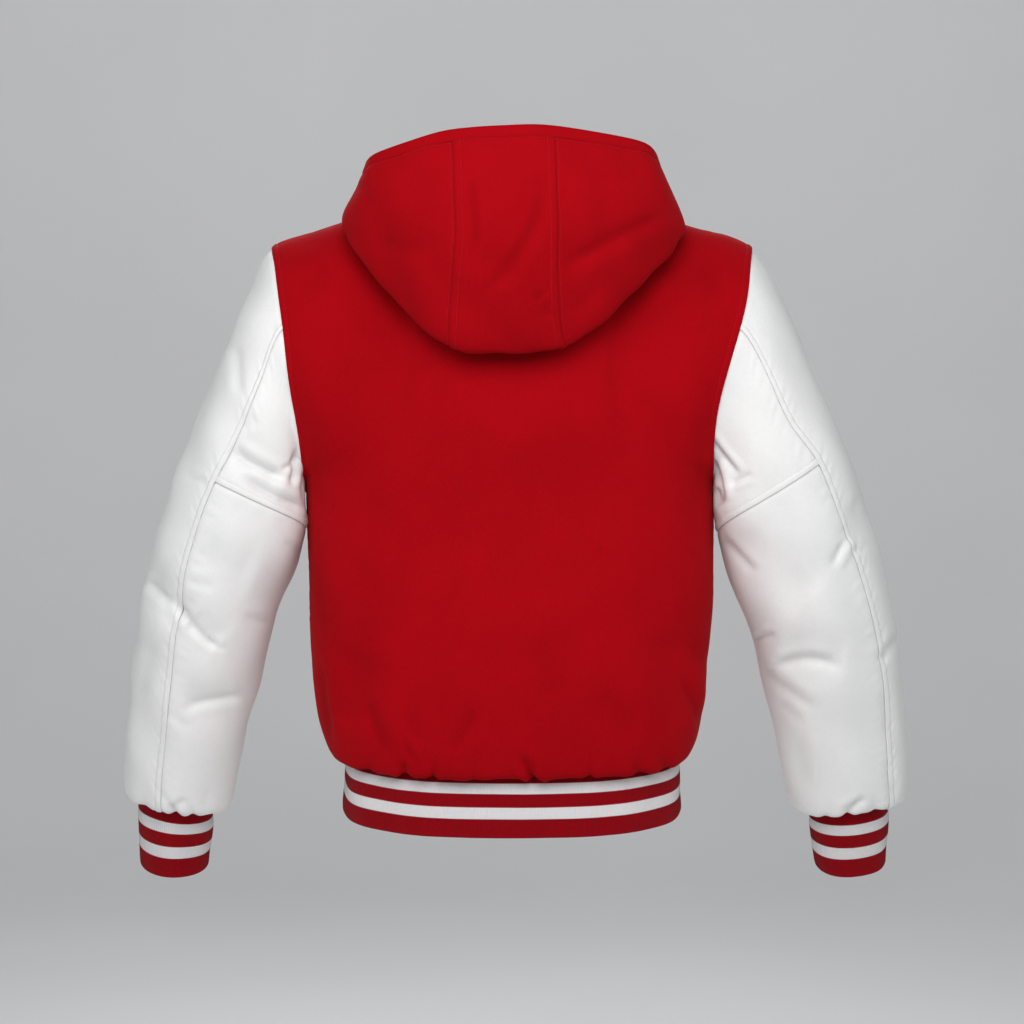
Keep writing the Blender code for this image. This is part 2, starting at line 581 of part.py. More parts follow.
def add_object(name, points, faces, slots):
    """A mesh object in the jacket's collection, with a material for each slot that it uses."""
    mesh = bpy.data.meshes.new(name)
    mesh.from_pydata([tuple(p) for p in points], [], faces)
    order = sorted(set(slots), key=slots.index)
    for slot in order:
        mesh.materials.append(material(name, slot))
    mesh.polygons.foreach_set("material_index", [order.index(slot) for slot in slots])
    mesh.polygons.foreach_set("use_smooth", [True] * len(faces))
    mesh.update()
    body = bpy.data.objects.new(name, mesh)
    jacket.objects.link(body)
    return body


def material(name, slot):
    """A plain Principled material of its own for each object."""
    colour, roughness, metallic = COLOURS[slot]
    made = bpy.data.materials.new(name + "_" + slot)
    made.use_nodes = True
    shader = made.node_tree.nodes["Principled BSDF"]
    shader.inputs["Base Color"].default_value = colour
    shader.inputs["Roughness"].default_value = roughness
    shader.inputs["Metallic"].default_value = metallic
    made.diffuse_color = colour
    return made


def snap(name, at, axis):
    """A cap snap turned round its axis, standing on the cloth."""
    profile = [(SNAP_RADIUS - 0.0004, 0.0), (SNAP_RADIUS, 0.0005), (SNAP_RADIUS, SNAP_HEIGHT - SNAP_EDGE),
               (SNAP_RADIUS - SNAP_EDGE, SNAP_HEIGHT), (SNAP_RADIUS * 0.45, SNAP_HEIGHT + 0.0004)]
    axis = Vector(axis).normalized()
    across = axis.orthogonal().normalized()
    other = axis.cross(across)
    steps = 14
    points, faces = [], []
    for radius, height in profile:
        for n in range(steps):
            turn = 2 * math.pi * n / steps
            points.append(Vector(at) + axis * height
                          + (across * math.cos(turn) + other * math.sin(turn)) * radius)
    rows = len(profile)
    for i in range(rows - 1):
        for n in range(steps):
            m = (n + 1) % steps
            faces.append((i * steps + n, i * steps + m, (i + 1) * steps + m, (i + 1) * steps + n))
    faces.append(tuple(range(steps))[::-1])
    faces.append(tuple((rows - 1) * steps + n for n in range(steps)))
    return add_object(name, points, faces, ["snap"] * len(faces))


# ================================================================ jacket
for old in list(bpy.data.objects):
    bpy.data.objects.remove(old)
jacket = bpy.data.collections.new("varsity_jacket")
bpy.context.scene.collection.children.link(jacket)

points, faces, tags = make_cloth()
points = press_creases(points, faces, tags)
points = lift_hood(points, faces, tags)
normals = point_normals(points, faces)

for panel, (slot, thickness) in PANELS.items():
    chosen = [n for n, tag in enumerate(tags) if tag[0] == panel]
    wall(panel, points, normals, [faces[n] for n in chosen], [tags[n][1] for n in chosen], thickness)

front = [face for face, (panel, _) in zip(faces, tags) if panel == "front_left"]
rib = [face for face, (panel, _) in zip(faces, tags) if panel == "hem_rib"]
for number in range(SNAP_COUNT):
    z = SNAP_TOP_Z + (SNAP_BOTTOM_Z - SNAP_TOP_Z) * number / (SNAP_COUNT - 1)
    under, thickness = (rib, RIB) if number == SNAP_COUNT - 1 else (front, WOOL)
    tree = BVHTree.FromPolygons([Vector(p) for p in points], under)
    at, normal, _, _ = tree.ray_cast(Vector((0, -0.5, z)), Vector((0, 1, 0)))
    normal = normal if normal.y < 0 else -normal
    snap("snap_%d" % (number + 1), at + normal * (thickness / 2 + 0.0004), normal)
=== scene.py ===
# %% [markdown]
# # A hooded varsity jacket
# The jacket is wool in the body and the hood, leather in the sleeves, and striped rib knit at the hem and the
# cuffs. It is filled out as if worn, with its hood lying down the back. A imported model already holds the
# solids. This lesson dresses them: it repeats the same sections at a finer spacing, cuts them into the same
# panels, and adds seams, creases, stitches, ribs and cloth. Loading the fixed model comes first, so that
# every piece can be set against it.

# %% Load the fixed model
import math

import bmesh
import bpy
import numpy as np
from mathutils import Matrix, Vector
from mathutils.bvhtree import BVHTree


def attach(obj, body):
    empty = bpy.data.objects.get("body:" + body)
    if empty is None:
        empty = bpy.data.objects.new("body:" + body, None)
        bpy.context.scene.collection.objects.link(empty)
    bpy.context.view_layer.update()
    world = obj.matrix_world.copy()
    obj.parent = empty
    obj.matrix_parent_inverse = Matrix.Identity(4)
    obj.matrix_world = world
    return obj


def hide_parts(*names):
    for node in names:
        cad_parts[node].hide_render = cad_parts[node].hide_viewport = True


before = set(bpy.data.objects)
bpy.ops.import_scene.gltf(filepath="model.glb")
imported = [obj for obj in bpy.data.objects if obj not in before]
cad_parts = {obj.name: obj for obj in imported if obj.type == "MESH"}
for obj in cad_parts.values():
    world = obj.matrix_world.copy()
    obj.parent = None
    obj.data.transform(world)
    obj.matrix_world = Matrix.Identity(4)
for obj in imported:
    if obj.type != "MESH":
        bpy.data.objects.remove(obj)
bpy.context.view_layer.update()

# %% [markdown]
# ## Camera, floor and light
# A garment is best shown from a few metres away with a long lens, which keeps its outline true. The camera
# looks level at the back. A round cove, a floor that bends up into a wall, gives the same plain ground from
# every side, which a flat backdrop would not.

# %% Camera
SIDE_Y = -0.06                 # the plane of the side seams
VIEW_DISTANCE = 2.6            # from the camera to that plane
VIEW_HEIGHT = -0.31
LENS, SENSOR_WIDTH = 87.4, 36  # in mm
scene = bpy.context.scene
camera = bpy.data.objects.new("camera", bpy.data.cameras.new("camera"))
camera.data.lens = LENS
camera.data.sensor_width = SENSOR_WIDTH
camera.location = (0, SIDE_Y + VIEW_DISTANCE, VIEW_HEIGHT)
camera.rotation_euler = (math.radians(90), 0, math.radians(180))
scene.collection.objects.link(camera)
scene.camera = camera
scene.view_settings.view_transform = "Standard"
print("camera at", tuple(camera.location))

# %% Floor
NAPE_HEIGHT = 1.46  # of a standing wearer
COVE_RADIUS, COVE_BEND, COVE_HEIGHT = 7.0, 2.2, 6.0
COVE_STEPS, COVE_BEND_STEP_DEG = 96, 7.5


def lathe(name, profile, steps):
    """A surface turned round the Z axis. The profile is a list of radius and height."""
    made = bmesh.new()
    line = [made.verts.new((r, 0, z)) for r, z in profile]
    edges = [made.edges.new(pair) for pair in zip(line, line[1:])]
    bmesh.ops.spin(made, geom=line + edges, cent=(0, 0, 0), axis=(0, 0, 1), angle=2 * math.pi, steps=steps)
    bmesh.ops.remove_doubles(made, verts=made.verts, dist=1e-6)
    bmesh.ops.recalc_face_normals(made, faces=made.faces)
    mesh = bpy.data.meshes.new(name)
    made.to_mesh(mesh)
    made.free()
    mesh.polygons.foreach_set("use_smooth", [True] * len(mesh.polygons))
    body = bpy.data.objects.new(name, mesh)
    scene.collection.objects.link(body)
    return body


bend = [(COVE_RADIUS - COVE_BEND * (1 - math.sin(t)), -NAPE_HEIGHT + COVE_BEND * (1 - math.cos(t)))
        for t in np.radians(np.arange(0, 91, COVE_BEND_STEP_DEG))]
floor = lathe("floor", [(0.0, -NAPE_HEIGHT)] + bend + [(COVE_RADIUS, COVE_HEIGHT)], COVE_STEPS)
print("floor", len(floor.data.polygons), "faces")

# %% Soft light
SOFTBOXES = {  # name: place, point it faces, size, watts
    "key": ((0.1, 1.7, 0.65), (0.0, 0.0, -0.1), 1.2, 26),
    "left": ((2.3, 2.0, 0.9), (0.1, 0.0, -0.3), 1.4, 16),
    "right": ((-2.3, 2.0, 0.9), (-0.1, 0.0, -0.3), 1.4, 16),
    "front": ((0.2, -2.4, 1.7), (0.0, -0.1, -0.2), 1.5, 50),
    "backdrop": ((0.0, -3.0, 2.6), (0.0, -7.0, 0.6), 2.6, 50),
}
SKY, SKY_STRENGTH = (0.93, 0.95, 1.0, 1), 0.25
for name, (place, target, size, watts) in SOFTBOXES.items():
    lamp = bpy.data.lights.new(name, "AREA")
    lamp.size = size
    lamp.energy = watts
    box = bpy.data.objects.new(name, lamp)
    box.location = place
    box.rotation_euler = (Vector(target) - Vector(place)).to_track_quat("-Z", "Y").to_euler()
    box.visible_camera = False
    scene.collection.objects.link(box)
world = bpy.data.worlds.new("studio")
world.use_nodes = True
world.node_tree.nodes["Background"].inputs["Color"].default_value = SKY
world.node_tree.nodes["Background"].inputs["Strength"].default_value = SKY_STRENGTH
scene.world = world
print("softboxes:", len(SOFTBOXES))

# %% [markdown]
# ## Sizes of the body
# A jacket's body is a tube of cloth from the rib at the hem to the armpits, then a back and two fronts that
# rise to the shoulder seams. Level sections describe the tube. Above the armpit, each panel is blended from
# its four edges: the section below, the neck and shoulder above, the centre line, and the armhole. This is
# how a pattern cutter thinks of it, and it needs only a few sizes.

# %% Torso sections
NECK = (0.092, -0.052, 0.018)  # neck-shoulder point
SHOULDER = (0.2508, -0.0365)   # x and z of the shoulder point
FRONT_NECK = (-0.124, -0.067)  # y and z of the front neck, at the centre
NAPE_S = 0.4                   # share of a half panel's width that the neckline takes
FRONT_LAP = 0.0042             # how far the left front stands out over the right one
# Level sections, from the rib seam up to the armpit: half width, height at the side, depth of the back and of
# the front, how much lower the middle of the back hangs, and squareness (2 gives an ellipse).
TORSO = [
    (0.172, -0.55, 0.106, 0.11, 0.02, 2.6),      # rib seam, under the blouse
    (0.182, -0.5575, 0.119, 0.1215, 0.02, 2.6),  # lowest line of the blouse
    (0.1935, -0.542, 0.129, 0.1295, 0.017, 2.5),
    (0.2015, -0.514, 0.135, 0.136, 0.011, 2.5),
    (0.2075, -0.46, 0.135, 0.137, 0.003, 2.4),
    (0.2115, -0.38, 0.125, 0.135, 0.0, 2.4),
    (0.215, -0.29, 0.116, 0.128, 0.0, 2.4),      # armpit level
]
BODY_SHIFT = {  # what each section's half width changes by on this side
    "left": (0.0, 0.0, 0.0, 0.0, 0.0, 0.0, 0.0),
    "right": (0.0, 0.0, -0.001, -0.003, -0.0032, -0.0015, -0.0065),
}
# Columns of the half panels, as shares of the way from the centre (0) to the side seam (1).
BACK_S = (0.0, 0.2, 0.3, 0.4, 0.6, 0.8, 1.0)
FRONT_S = (1.0, 0.8, 0.6, 0.4, 0.28, 0.18, 0.1, 0.04, 0.0, -0.035)
LAP_S = 0.05                   # columns nearer the centre than this lie in the overlap
LAP_FADE_S = 0.19              # beyond it, the flat lap turns into the full blouse over this much
LAP_ROWS = (0.14, 0.28, 0.52)  # the lap's lowest rows, as shares of the way from the rib seam to row 4
UPPER_ROWS = 5                 # rows from the armpit level to the shoulder
FRONT_RISE = 0.3               # the hem rises at the front by this much of its drop at the back
# Centre lines above the armpit, from it up to the neck: y and z.
BACK_LINE = [(0.056, -0.29), (0.06, -0.215), (0.059, -0.155),
             (0.05, -0.09), (0.03, -0.035), (0.0, 0.0)]
FRONT_LINE = [(-0.188, -0.29), (-0.1885, -0.23), (-0.183, -0.19),
              (-0.172, -0.15), (-0.152, -0.108), (-0.124, -0.067)]
SIDES = {"left": 1, "right": -1}


def ease(t):
    """0 to 1 with a soft start and end."""
    t = np.clip(t, 0.0, 1.0)
    return t * t * (3 - 2 * t)


def section(n, side):
    """A level section of the body, as wide as it is on this side."""
    return (TORSO[n][0] + BODY_SHIFT[side][n],) + TORSO[n][1:]


def ring_point(sizes, face, s):
    """A point of a level section: face is back or front, s runs from the centre to the side seam."""
    half_width, side_z, back_depth, front_depth, back_drop, squareness = sizes
    turn = math.radians(90 * s)
    sine = math.copysign(abs(math.sin(turn)) ** (2 / squareness), s)
    cosine = abs(math.cos(turn)) ** (2 / squareness)
    if face == "back":
        return np.array([half_width * sine, SIDE_Y + back_depth * cosine, side_z - back_drop * cosine])
    z = side_z + FRONT_RISE * back_drop * cosine
    return np.array([half_width * sine, SIDE_Y - front_depth * cosine, z])


chest = section(-1, "left")
chest_girth = 2 * math.pi * math.hypot(chest[0], (chest[2] + chest[3]) / 2) / math.sqrt(2)
print("round the chest: about", round(chest_girth, 2), "m")

# %% Armhole, neckline and shoulder
ARMHOLE_MID_Z = -0.16325
ARMHOLE_HALF_HEIGHT = 0.12675
ARMHOLE_DEPTH = {"back": 0.084, "front": 0.078}
SHOULDER_BOW = 1.12  # 1 gives a straight shoulder seam, more bows it up
# Height and x of the armhole seam, from the armpit up.
ARMHOLE_X = {
    "front": [(-0.255, 0.2165), (-0.22, 0.2195), (-0.195, 0.2255), (-0.156, 0.2305), (-0.115, 0.2335),
              (-0.083, 0.2375), (-0.06, 0.243), (-0.0335, 0.2508)],
    "back_left": [(-0.26, 0.214), (-0.2301, 0.2135), (-0.1989, 0.2238), (-0.1718, 0.2286),
                  (-0.1363, 0.2317), (-0.0939, 0.2338), (-0.0438, 0.248), (-0.0335, 0.2508)],
    "back_right": [(-0.26, 0.2065), (-0.213, 0.2048), (-0.1577, 0.2235), (-0.1188, 0.233),
                   (-0.0787, 0.24), (-0.0438, 0.248), (-0.0335, 0.2508)],
}


def armhole_point(face, k, side):
    """The armhole seam, from the armpit (k = 0) to the shoulder point (k = 1)."""
    turn = math.pi * (1 - k)
    z = ARMHOLE_MID_Z + ARMHOLE_HALF_HEIGHT * math.cos(turn)
    line = [section(-1, side)[1::-1]] + ARMHOLE_X[face if face == "front" else "back_" + side]
    x = np.interp(z, [row[0] for row in line], [row[1] for row in line])
    out = ARMHOLE_DEPTH[face] * math.sin(turn)
    return np.array([x, SIDE_Y + (out if face == "back" else -out), z])


def top_point(face, s):
    """The neckline from the centre to the neck point, then the shoulder seam out to the shoulder point."""
    if s <= NAPE_S:
        turn = math.radians(90 * s / NAPE_S)
        y0, z0 = (0.0, 0.0) if face == "back" else FRONT_NECK
        rise = 1 - math.cos(turn)
        return np.array([NECK[0] * math.sin(turn), y0 + (NECK[1] - y0) * rise, z0 + (NECK[2] - z0) * rise])
    t = (s - NAPE_S) / (1 - NAPE_S)
    x = NECK[0] + (SHOULDER[0] - NECK[0]) * t
    y = NECK[1] + (SIDE_Y - NECK[1]) * t
    z = NECK[2] + (SHOULDER[1] - NECK[2]) * t ** SHOULDER_BOW
    return np.array([x, y, z])


print("shoulder to shoulder:", 2 * SHOULDER[0], "m")


# %% Body columns
def along(line, share):
    """The point at this share of the length of a line through the points."""
    line = np.array(line, float)
    steps = np.linalg.norm(np.diff(line, axis=0), axis=1)
    at = np.concatenate([[0], np.cumsum(steps)]) / steps.sum()
    return np.array([np.interp(share, at, line[:, c]) for c in range(line.shape[1])])


def yoke_point(face, s, k, side):
    """The body above the armpit level, blended from its four edges."""
    y, z = along(BACK_LINE if face == "back" else FRONT_LINE, k)
    centre = np.array([0.0, y, z])
    edge = armhole_point(face, k, side)
    armpit = section(-1, side)
    low, high = ring_point(armpit, face, s), top_point(face, s)
    corner = {(i, j): (ring_point(armpit, face, i) if j == 0 else top_point(face, i))
              for i in (0, 1) for j in (0, 1)}
    w = s * s * (2 - s)  # level across the centre, so that the two halves meet flush
    ruled = (1 - k) * low + k * high + (1 - w) * centre + w * edge
    return ruled - ((1 - w) * (1 - k) * corner[0, 0] + w * (1 - k) * corner[1, 0]
                    + (1 - w) * k * corner[0, 1] + w * k * corner[1, 1])


def body_column(face, s, side):
    """One column of the body, from the rib seam to the shoulder or the neckline."""
    rows = [ring_point(section(n, side), face, s) for n in range(len(TORSO))]
    rows += [yoke_point(face, s, k / UPPER_ROWS, side) for k in range(1, UPPER_ROWS + 1)]
    rows = np.array(rows)
    if face == "front":  # the lap runs flat into the rib, with no blouse
        flat = 1 - ease((s - LAP_S) / LAP_FADE_S)
        for n, share in enumerate(LAP_ROWS):
            rows[n + 1] += (rows[0] + (rows[4] - rows[0]) * share - rows[n + 1]) * flat
        rows[:, 1] -= FRONT_LAP * (side == "left" and s < LAP_S)
    rows[:, 0] *= SIDES[side]
    return rows


print("nape at", along(BACK_LINE, 1.0))

# %% [markdown]
# ## Sleeves
# Each sleeve is a bent tube of leather that blouses over its cuff. Rings describe it, each with its outer and
# inner point seen from behind, its depth and its lean, because the arm bends forward at the elbow. Two long
# seams split it into a top and an under panel, and a cross seam splits the under panel above the elbow.

# %% Sleeve rings
CROSS_SEAM_RING = 3  # the armhole is ring 0
# Each ring: x and z of its outer point, x and z of its inner point, how far its middle lies behind the plane
# of the side seams, its half depth, its lean in degrees, and how far it wraps round the side of the body.
SLEEVE = [
    (0.285, -0.093, 0.2275, -0.2965, 0.0, 0.082, 0, 0.012),
    (0.32, -0.176, 0.225, -0.315, 0.0, 0.0825, 0, 0.013),
    (0.353, -0.256, 0.2215, -0.334, 0.0, 0.0815, 0, 0.01),     # cross seam
    (0.3725, -0.32, 0.229, -0.372, 0.0, 0.0795, 2, 0.003),
    (0.389, -0.386, 0.246, -0.414, -0.005, 0.0755, 6, 0.0),    # elbow
    (0.4, -0.446, 0.26, -0.464, -0.018, 0.0715, 12, 0.0),
    (0.41, -0.511, 0.277, -0.5225, -0.035, 0.066, 14, 0.0),
    (0.4185, -0.577, 0.2955, -0.5855, -0.05, 0.06, 12, 0.0),
    (0.4165, -0.613, 0.3075, -0.625, -0.056, 0.0515, 9, 0.0),  # lowest line of the leather
    (0.4025, -0.609, 0.3235, -0.619, -0.058, 0.04, 10, 0.0),   # cuff seam, under the leather
]
SLEEVE_SHIFT = {  # the two sleeves hang differently: shift of each ring's outer and inner x
    "left": [(-0.0073, -0.0068), (-0.0063, -0.0068), (-0.0084, -0.0064), (-0.0052, 0.0), (-0.0047, 0.0),
             (-0.0042, 0.0), (-0.006, 0.0), (-0.006, -0.0023), (-0.0058, -0.005), (-0.004, -0.003),
             (-0.003, 0.0)],
    "right": [(-0.0005, -0.014), (-0.002, -0.0108), (0.0, -0.006), (0.0021, -0.0052), (0.0037, -0.0036),
              (0.0044, -0.001), (0.0048, -0.0027), (0.0013, -0.0057), (0.002, -0.0072), (0.0, -0.006),
              (-0.002, 0.0)],
}
CUFF_BOTTOM = (0.4025, -0.684, 0.328, -0.689, -0.08, 0.035, 21, 0.0)
RING_RISE = {  # where a seam lies further up this sleeve: shift of outer x, outer z and inner z
    ("left", CROSS_SEAM_RING): (0.0, 0.0, 0.008), ("right", CROSS_SEAM_RING): (-0.0078, 0.019, 0.004),
    ("left", len(SLEEVE) - 1): (0.0, 0.004, 0.0), ("left", len(SLEEVE)): (0.0, 0.005, 0.0),
}
# Angle of the back seam from the outer side, at the armhole and at each ring, for each sleeve.
BACK_SEAM_DEG = {
    "left": (72, 80, 77, 71, 68, 70, 73, 75, 78, 79, 79, 79),
    "right": (72, 76, 71, 61, 56, 52, 49, 51, 53, 52, 52, 52),
}
# Columns of a ring at which the two long seams run, how many go round, and the even step round its front.
BACK_SEAM_COLUMN, FRONT_SEAM_COLUMN, SLEEVE_AROUND = 2, 8, 10
FRONT_STEP_DEG = 36


def sleeve_ring(row, side, ring):
    """One ring of the sleeve or of its cuff, closed: 0 degrees is outer, 180 inner, the back between them."""
    outer_x, outer_z, inner_x, inner_z, middle_y, half_depth, lean_deg, wrap = row
    outer_x, inner_x = outer_x + SLEEVE_SHIFT[side][ring - 1][0], inner_x + SLEEVE_SHIFT[side][ring - 1][1]
    outer_x, outer_z, inner_z = np.add((outer_x, outer_z, inner_z), RING_RISE.get((side, ring), 0.0))
    lean = math.radians(lean_deg)
    seam = BACK_SEAM_DEG[side][ring]
    angles = [0, seam / 2, seam] + [seam + (180 - seam) * i / 3 for i in (1, 2, 3)]
    angles += [180 + FRONT_STEP_DEG * i for i in (1, 2, 3, 4)]
    ring_points = []
    for angle in angles + [0]:
        across = math.cos(math.radians(angle))
        deep = half_depth * math.sin(math.radians(angle))
        x = (outer_x + inner_x) / 2 + across * (outer_x - inner_x) / 2
        x -= 2 * wrap * max(0.0, -across) * max(0.0, deep / half_depth)
        z = (outer_z + inner_z) / 2 + across * (outer_z - inner_z) / 2 - deep * math.sin(lean)
        ring_points.append((x * SIDES[side], SIDE_Y + middle_y + deep * math.cos(lean), z))
    return np.array(ring_points)


def armhole_ring(side):
    """The armhole seam as the sleeve's first ring."""
    share = [k / UPPER_ROWS for k in range(UPPER_ROWS, -1, -1)]
    ring = [armhole_point("back", k, side) for k in share]
    ring += [armhole_point("front", k, side) for k in share[-2::-1]]
    return np.array(ring) * (SIDES[side], 1, 1)


print("sleeve rings:", len(SLEEVE) + 1)

# %% [markdown]
# ## Rib and hood
# The rib is a knitted tube, one at the hem and one at each cuff. The hood is cut as a centre strip and two
# sides, with a folded band at its rim. Lying down the back, it is a pouch: its inner layer goes down from the
# neck seam to a fold, and its outer layer comes up again to the rim. A row of points from the neck to the
# rim, at eight places from the centre back to the throat, describes it.

# %% Rib and hood sections
HEM_BOTTOM = (0.176, -0.6155, 0.1085, 0.113, 0.022, 2.6)
HEM_BANDS = (0.19, 0.346, 0.548, 0.719, 1.0)  # how far down the rib each stripe ends, from red on
CUFF_BANDS = (0.25, 0.392, 0.578, 0.74, 1.0)
# The hood's columns, each with six points: stand, over, under, fold, belly and rim.
HOOD = [
    ((0.0, 0.008, 0.012), (0.0, 0.034, -0.018), (0.0, 0.068, -0.088),
     (0.0, 0.086, -0.1532), (0.0, 0.127, -0.052), (0.0, 0.08, 0.0724)),
    ((0.066, -0.009, 0.0185), (0.067, 0.021, -0.011), (0.063, 0.058, -0.078),
     (0.059, 0.0815, -0.1497), (0.059, 0.121, -0.05), (0.0565, 0.078, 0.0725)),
    ((0.087, -0.0255, 0.024), (0.093, 0.005, -0.002), (0.096, 0.04, -0.055),
     (0.1005, 0.0685, -0.1155), (0.108, 0.0935, -0.035), (0.1, 0.067, 0.065)),
    ((0.095, -0.048, 0.0265), (0.109, -0.024, 0.0185), (0.124, 0.012, -0.027),
     (0.1385, 0.046, -0.0715), (0.151, 0.056, -0.014), (0.138, 0.043, 0.058)),
    ((0.099, -0.071, 0.018), (0.114, -0.056, 0.023), (0.138, -0.028, 0.014),
     (0.164, 0.013, -0.029), (0.1725, 0.006, -0.017), (0.149, -0.006, 0.0465)),
    ((0.079, -0.093, -0.014), (0.098, -0.082, 0.008), (0.127, -0.069, 0.015),
     (0.156, -0.05, 0.009), (0.1595, -0.056, 0.022), (0.14, -0.06, 0.0415)),
    ((0.048, -0.118, -0.043), (0.066, -0.117, -0.034), (0.088, -0.115, -0.025),
     (0.115, -0.114, -0.02), (0.12, -0.122, -0.005), (0.098, -0.115, 0.015)),
    ((0.018, -0.129, -0.061), (0.02, -0.131, -0.057), (0.0225, -0.133, -0.053),
     (0.025, -0.135, -0.049), (0.03, -0.138, -0.037), (0.033, -0.138, -0.019)),
]
LEFT_RIM_DROP = (0.0, 0.0038, 0.0055, 0.0085, 0.002, 0.0, 0.0, 0.0)  # the rim hangs lower on the left
RIGHT_BELLY_SHIFT = {4: (0.005, 0.0, -0.006), 5: (-0.003, 0.0, 0.0)}  # of the belly on the right, by column
HOOD_BAND_WIDTH, HOOD_BAND_SHARE = 0.0115, 0.35  # and the most of the way down to the belly that it takes
# Two more rows round the outer layer out: how far up each lies from the row below it, and its own puff.
LOW_SHARE, LOW_PUFF = 0.42, (0.0, 0.008, -0.004)  # from the fold to the belly
HIGH_SHARE, HIGH_PUFF = 0.45, (0.0, 0.006, 0.0)   # from the belly to the rim
THROAT_COLUMNS = 3                                # the fold dies out over the last columns
HOOD_CENTRE_COLUMN = 1                            # the seam between the centre and the side panels
# The centre panel's right half takes this share of the table's width, row by row. Its left seam wanders by a
# few millimetres.
RIGHT_CENTRE_SHARE = (1, 1, 1, 0.96, 0.93, 0.76, 0.745, 0.745, 0.73, 0.725)
LEFT_SEAM_SHIFT = (0.0, 0.0, 0.0, 0.0015, 0.0034, 0.0028, -0.0042, -0.0012, 0.0028, 0.0028)


def hood_column(j, neck, side):
    """One column of the hood: up from the neck seam, down to the fold, and up its outer layer to the rim."""
    stand, over, under, fold, belly, rim = (np.array(p, float) for p in HOOD[j])
    if side == "left":
        rim = rim - (0.0, 0.0, LEFT_RIM_DROP[j])
    else:
        belly = belly + RIGHT_BELLY_SHIFT.get(j, (0.0, 0.0, 0.0))
    turned = min(1.0, (len(HOOD) - 1 - j) / THROAT_COLUMNS)
    low = fold + (belly - fold) * LOW_SHARE + np.array(LOW_PUFF) * turned
    high = belly + (rim - belly) * HIGH_SHARE + np.array(HIGH_PUFF) * turned
    drop = belly - rim
    band = rim + drop * min(HOOD_BAND_WIDTH / np.linalg.norm(drop), HOOD_BAND_SHARE)
    rows = np.array([neck, stand, over, under, fold, low, belly, high, band, rim])
    if side == "right" and j <= HOOD_CENTRE_COLUMN:
        rows[:, 0] *= RIGHT_CENTRE_SHARE
    elif j == HOOD_CENTRE_COLUMN:
        rows[:, 0] += LEFT_SEAM_SHIFT
    return rows * (SIDES[side], 1, 1)


print("hood columns:", 2 * len(HOOD) - 1)

# %% [markdown]
# ## One rounded surface
# All the sections are joined into one coarse cage, so that neighbouring panels share their seam. Subdivision
# Surface rounds the cage, and the cage is moved until the rounded surface passes through the points of the
# tables. Each face carries the number of its patch and a grid position in a UV map. Subdivision spreads both
# evenly, so afterwards every patch can be read back as a neat grid of points.

# %% The cage
CAGE = {"points": [], "faces": [], "patch": [], "grid": []}
PATCHES = {}     # name: cells along, cells across
THROAT_S = 0.03  # columns of the front nearer the centre than this have no hood


def add_patch(name, rows):
    """Adds rows of points to the cage as a patch."""
    start, wide = len(CAGE["points"]), len(rows[0])
    CAGE["points"].extend(p for row in rows for p in row)
    for i in range(len(rows) - 1):
        for j in range(wide - 1):
            at = start + i * wide + j
            CAGE["faces"].append((at, at + 1, at + wide + 1, at + wide))
            CAGE["grid"].append(((j, i), (j + 1, i), (j + 1, i + 1), (j, i + 1)))
            CAGE["patch"].append(len(PATCHES))
    PATCHES[name] = (len(rows) - 1, wide - 1)


def banded(top, bottom, ends):
    """Rows of a rib, one at each border of its stripes."""
    return [top] + [top + (bottom - top) * end for end in ends]


for side, sign in SIDES.items():
    back = np.array([body_column("back", s, side) for s in BACK_S]).transpose(1, 0, 2)
    front = np.array([body_column("front", s, side) for s in FRONT_S]).transpose(1, 0, 2)
    add_patch("back_" + side, back)
    add_patch("front_" + side, front)
    for face, shares, body in (("back", BACK_S, back), ("front", FRONT_S, front)):
        bottom = np.array([ring_point(HEM_BOTTOM, face, s) for s in shares])
        if face == "front" and side == "left":
            bottom[:, 1] -= FRONT_LAP * (np.array(shares) < LAP_S)
        add_patch("rib_%s_%s" % (face, side), banded(body[0], bottom * (sign, 1, 1), HEM_BANDS))
    rings = [armhole_ring(side)] + [sleeve_ring(row, side, n + 1) for n, row in enumerate(SLEEVE)]
    add_patch("sleeve_" + side, rings)
    add_patch("cuff_" + side, banded(rings[-1], sleeve_ring(CUFF_BOTTOM, side, len(SLEEVE) + 1), CUFF_BANDS))
    neck = [back[-1][j] for j, s in enumerate(BACK_S) if s <= NAPE_S]
    neck += [front[-1][j] for j, s in enumerate(FRONT_S) if THROAT_S < s < NAPE_S]
    hood = [hood_column(j, p * (sign, 1, 1), side) for j, p in enumerate(neck)]
    add_patch("hood_" + side, np.array(hood).transpose(1, 0, 2))
print("cage:", len(CAGE["faces"]), "faces in", len(PATCHES), "patches")

# %% Round it
FINE = 3             # subdivision levels
STEP = 2 ** FINE     # fine cells along one cage cell
SEAM_MERGE = 0.0004  # points of two patches nearer than this are one point of their seam
CAGE_ROUNDS = 3      # how often the cage is moved towards its points


def cage_object():
    """The cage as a mesh object with a live Subdivision Surface."""
    mesh = bpy.data.meshes.new("cage")
    for name in PATCHES:
        mesh.materials.append(bpy.data.materials.new("patch_" + name))
    mesh.from_pydata([tuple(p) for p in CAGE["points"]], [], CAGE["faces"])
    mesh.polygons.foreach_set("material_index", CAGE["patch"])
    layer = mesh.uv_layers.new(name="grid")
    layer.data.foreach_set("uv", np.array(CAGE["grid"], float).ravel())
    work = bmesh.new()
    work.from_mesh(mesh)
    bmesh.ops.remove_doubles(work, verts=work.verts, dist=SEAM_MERGE)
    bmesh.ops.recalc_face_normals(work, faces=work.faces)
    work.to_mesh(mesh)
    work.free()
    body = bpy.data.objects.new("cage", mesh)
    scene.collection.objects.link(body)
    modifier = body.modifiers.new("round", "SUBSURF")
    modifier.boundary_smooth = "PRESERVE_CORNERS"
    modifier.uv_smooth = "NONE"
    return body


